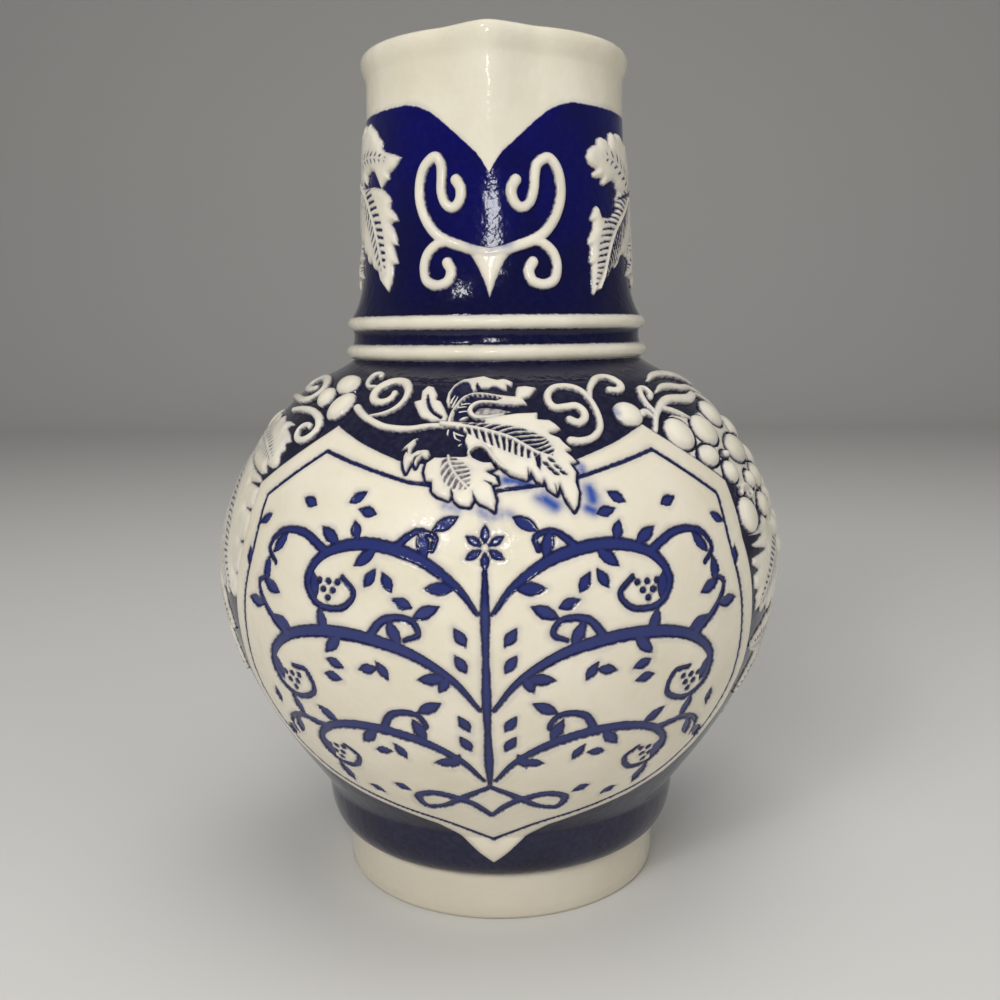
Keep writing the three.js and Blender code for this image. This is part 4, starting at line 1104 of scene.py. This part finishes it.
left_ribs = [
    smooth([(-88, 121), (-76, 120.6), (-64, 119.6), (-54, 116.6)]),
    smooth([(-88, 117), (-78, 111), (-69, 101), (-63, 91), (-58.5, 85)]),
]
left_leaf = Sheet(turns=(-94, -48), heights=(80, 127), step=0.32, shift=vine_shift, drop=0.5)
left_leaf.pillow(upper_left, tall=0.85)
left_leaf.pillow(long_left, tall=0.9)
left_leaf.veins(
    left_ribs[0], pitch=2.0, lean=0.7, start=0.5, reach=[1.6, 2.6, 2.6, 2.2, 0.6], wide=0.6, cut=0.3,
)
left_leaf.veins(
    left_ribs[1], pitch=1.9, lean=0.6, start=0.6, reach=[2, 5, 6.5, 5.5, 3.6, 1.2], wide=0.55, cut=0.3,
)
for rib in left_ribs:
    left_leaf.roll(rib, wide=0.9, tall=1.02, widths=[1.4, 0.9, 0.5])
left_leaf.build("left_leaf_sprig", "left_leaf")
right_outline = [
    (58, 97.9), (62, 97.3), (65, 97), (62, 96), (58.2, 95.6), (61, 94.4), (66, 93.2), (62, 92.8),
    (58, 92.6), (57.8, 91), (60.5, 89.2), (58.2, 88.5), (58, 86.5), (58.6, 85), (60.4, 84.2),
    (59.2, 83), (59.8, 81), (59.6, 79), (62, 79.9), (63, 77.5), (66, 79.6), (68.5, 76.5),
    (70.2, 79.2), (73.6, 77.2), (74.6, 80.4), (78.6, 79), (79.2, 82.6), (83.4, 82), (83.6, 85.8),
    (88, 86.4), (87.4, 89.8), (91.8, 91.4), (90, 94.6), (93.4, 97.2), (89, 98.2), (88.6, 101.2),
    (84.4, 99.8), (82, 102.6), (78.4, 100), (75.2, 102.2), (71.8, 99.4), (68.6, 101), (66, 99.4),
    (64, 98.6),
]
right_rib = smooth([(92, 97), (84, 96), (75, 92), (68, 87), (61.5, 81)])
right_leaf = Sheet(turns=(55, 98), heights=(75, 105), step=0.32, shift=vine_shift, drop=0.4)
right_leaf.pillow(right_outline, tall=0.9)
right_leaf.veins(
    right_rib, pitch=1.9, lean=0.6, start=0.6, reach=[2, 4.2, 4.8, 4.0, 2.4, 1.0], wide=0.7, cut=0.3,
)
right_leaf.roll(right_rib, wide=0.9, tall=1.02, widths=[1.4, 0.9, 0.5])
right_leaf.build("right_leaf_sprig", "right_leaf")

# Low and back leaves: pressed vine leaves of three or four lobes, stuck on below the side leaves
# and, by a rolled stalk, at the back of the shoulder. A leaf is the turns and heights that its
# sheet covers, its shift, and its lobes, each a rib, its width as a share of it, and its teeth.
stalks = {
    "back_leaf_right": [(107, 131.4), (110, 130.6), (113.4, 128.6), (116, 125.6)],
    "back_leaf_left": [(-131, 131.8), (-134, 130.8), (-137.4, 128.8), (-140, 125.6)],
}
leaf_lobes = {
    "left_low_leaf": (
        (-96, -57),
        (54, 92),
        -1.2,
        [
            ([(-88, 84), (-75, 81.5), (-61, 73.5)], 0.38, 4),
            ([(-88, 84), (-78, 74.5), (-64.5, 61.5)], 0.45, 4),
            ([(-88, 84), (-87, 72.5), (-80, 56.5)], 0.45, 4),
        ],
    ),
    "right_low_leaf": (
        (58, 98),
        (43, 80),
        -1.2,
        [
            ([(88, 66), (74, 70), (60.5, 70)], 0.36, 4),
            ([(88, 66), (74, 63), (64, 56)], 0.45, 4),
            ([(88, 66), (85, 56), (76, 45.5)], 0.45, 4),
        ],
    ),
    "back_leaf_right": (
        (90, 140),
        (86, 133),
        0.0,
        [
            ([(116, 126), (104, 122), (94, 121.5)], 0.4, 3),
            ([(116, 126), (104, 111), (98, 94)], 0.45, 5),
            ([(116, 126), (118, 109), (116, 89.5)], 0.5, 5),
            ([(116, 126), (128, 113), (134, 98)], 0.45, 4),
        ],
    ),
    "back_leaf_left": (
        (-164, -124),
        (90, 134),
        0.0,
        [
            ([(-140, 126), (-134, 111), (-130, 98)], 0.5, 5),
            ([(-140, 126), (-142, 109), (-144, 93.5)], 0.5, 5),
            ([(-140, 126), (-150, 115), (-158, 106)], 0.45, 4),
        ],
    ),
}
for name, (turns, heights, shift, lobes) in leaf_lobes.items():
    sheet = Sheet(turns, heights, step=0.34, shift=shift)
    ribs = [sheet.lobe(spots, share, teeth, tall=0.9) for spots, share, teeth in lobes]
    nearest = np.minimum.reduce([sheet.follow(rib)[0] for rib, far in ribs])
    for rib, far in ribs:
        own = np.where(sheet.follow(rib)[0] <= nearest, 0.5, -0.5)
        reach = [0.3 * far, far, 0.9 * far, 0.6 * far, 0.1]
        sheet.veins(rib, pitch=1.9, lean=0.75, start=0.5, reach=reach, wide=0.7, cut=0.35, most=own)
    for rib, far in ribs:
        sheet.roll(rib, wide=0.9, tall=1.02, widths=[1.5, 0.9, 0.4])
    if name in stalks:
        sheet.roll(smooth(stalks[name]), wide=1.9, tall=1.0, widths=[2.3, 1.8, 1.6])
    sheet.build(name + "_sprig", name)

# Left neck leaf: pressed and stuck on as the right one is, and spread a little wider. Its lobe
# behind is the right leaf's, mirrored and moved a little towards the spout.
left_upper = [
    (-91, 184.4), (-91.6, 187.4), (-87.6, 188.4), (-88.6, 192), (-84, 192.4), (-84.2, 195.6),
    (-79.6, 194.8), (-77.6, 198), (-73.6, 196.2), (-70, 198.6), (-66.6, 196.8), (-63, 198.2),
    (-59, 196.6), (-56, 195.6), (-53.5, 194), (-50, 192.6), (-50.3, 191), (-48, 190), (-42, 189.1),
    (-37.5, 188), (-41, 185.6), (-45, 184.7), (-44.3, 183.3), (-47, 182.8), (-50.8, 181.2),
    (-53, 183), (-56.6, 185.6), (-61, 186.2), (-65, 185.4), (-66.4, 182.8), (-68, 183.5),
    (-76, 182.4), (-86, 182.6),
]
left_lower = [
    (-66, 182.6), (-58, 182.4), (-50, 181.4), (-45, 179.6), (-43.3, 178.2), (-44, 176.5),
    (-40.5, 175), (-38.4, 173), (-42, 172.9), (-43.5, 172.6), (-40, 170.5), (-38.6, 167.2),
    (-41.8, 167.4), (-39.5, 165), (-38.7, 163), (-41.5, 162.6), (-41.2, 160), (-43, 156),
    (-47, 157.6), (-50, 159), (-52, 161.2), (-56, 162), (-58, 163.8), (-61.6, 163.4), (-63, 165.4),
    (-66.4, 166), (-68.4, 168.4), (-73.4, 168.6), (-75, 171), (-79.4, 170.6), (-80.4, 173.6),
    (-85, 173), (-84.8, 176.8), (-90, 178), (-88.6, 181.4), (-91.4, 184),
]
left_side = [(1.5 - turn, z) if turn > 75 else (3.5 - turn, z) for turn, z in side_lobe]
left_side_rib = [(1.5 - turn, z) for turn, z in side_rib]
left_neck = Sheet(turns=(-102, -36), heights=(153, 199), step=0.28, shift=vine_shift)
for outline in (left_upper, left_lower, left_side):
    left_neck.pillow(outline, tall=1.25)
left_neck.veins(left_side_rib, pitch=1.9, lean=0.6, start=0.6, reach=side_reach, wide=0.7, cut=0.3)
left_neck.roll(left_side_rib, wide=0.8, tall=1.45, widths=[1.2, 0.8, 0.5])
left_rib = smooth([
    (-90, 186), (-76, 183.4), (-64.9, 180), (-57, 174.8), (-53, 170.7), (-50.2, 166.7), (-48.3, 163.7),
    (-45.4, 159.4),
])
left_neck.veins(
    left_rib, pitch=2.0, lean=0.5, start=0.6, reach=[0.1, 1.2, 3.0, 3.6, 3.2, 2.2, 0.2], wide=0.85,
    cut=0.35, sides=(1,),
)
left_neck.veins(
    left_rib, pitch=2.0, lean=0.6, start=0.6, reach=[0.1, 2.4, 3.2, 3.2, 2.8, 1.8, 0.2], wide=0.8,
    cut=0.3, sides=(-1,),
)
left_neck.roll(left_rib, wide=0.8, tall=1.5, widths=[1, 1, 1, 0.8, 0.4])
left_vein = smooth([(-90, 188), (-76, 188.4), (-64, 189.6), (-52, 188.8), (-44, 187.6)])
left_neck.veins(
    left_vein, pitch=2.4, lean=0.8, start=0.4, reach=[1.2, 1.8, 1.6, 1.2, 0.2], wide=0.6, cut=0.3,
)
left_neck.build("neck_leaf_left_sprig", "neck_leaf_left")

# Handle: a strap pulled from a lump of clay, with two finger grooves, thinner towards its foot
# and spread out where it is luted to the neck and the shoulder. It is glazed as the body is.
strap_half_wide = 9
strap_half_deep = 4.5
groove_depth = 1.2
groove_middle = 3.7
groove_spread = 1.6
corners = 64
spine_spots = [
    (30.3, 192.1), (48.6, 197.2), (68.2, 190.6), (82.4, 172.5), (82.9, 152.1), (75.1, 130.2),
    (62.4, 112.2),
]
spine = np.array(smooth(spine_spots, 16))
run = np.gradient(spine, axis=0)
run /= np.linalg.norm(run, axis=1)[:, None]
along = np.linspace(0, 1, len(spine))
close = np.clip(1 - np.minimum(along, 1 - along) / 0.2, 0, 1)
flare = close ** 2 * (3 - 2 * close)
broad = 1.04 - 0.12 * along + np.where(along < 0.5, 0.12, 0.42) * flare
thick = 1.04 - 0.16 * along + np.where(along < 0.5, 0.5, 0.25) * flare
angle = np.linspace(0, 2 * math.pi, corners, endpoint=False)
wide = strap_half_wide * np.sign(np.cos(angle)) * np.abs(np.cos(angle)) ** 0.8
deep = strap_half_deep * np.sign(np.sin(angle)) * np.abs(np.sin(angle)) ** 0.85
across = (np.abs(wide) - groove_middle) / groove_spread
groove = groove_depth * np.exp(-(across ** 2)) * np.clip(deep / 2, 0, 1)
rings = []
for (y, z), (dy, dz), w, d, fade in zip(spine, run, broad, thick, 1 - flare):
    out = (deep - groove * fade) * d
    rings += [(wide[j] * w, y - dz * out[j], z + dy * out[j]) for j in range(corners)]
faces = []
for start in range(0, len(rings) - corners, corners):
    for j in range(corners):
        k = (j + 1) % corners
        faces.append((start + j, start + k, start + corners + k, start + corners + j))
faces.append(tuple(range(corners - 1, -1, -1)))
faces.append(tuple(range(len(rings) - corners, len(rings))))
strap_points = np.array(rings)
core = core_at(strap_points[:, 2])
strap_points[:, 1] = np.maximum(strap_points[:, 1], np.sqrt(core ** 2 - strap_points[:, 0] ** 2))
handle_mesh = bpy.data.meshes.new("strap_handle")
handle_mesh.from_pydata(strap_points / 1000, [], faces)
handle_bare = handle_mesh.attributes.new("bare", "FLOAT", "POINT")
handle_bare.data.foreach_set("value", np.full(len(rings), -3.0))
handle_mesh.polygons.foreach_set("use_smooth", [True] * len(handle_mesh.polygons))
handle_mesh.materials.append(body_glaze)
strap = bpy.data.objects.new("strap_handle", handle_mesh)
bpy.context.collection.objects.link(strap)
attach(strap, "root")
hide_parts("handle")
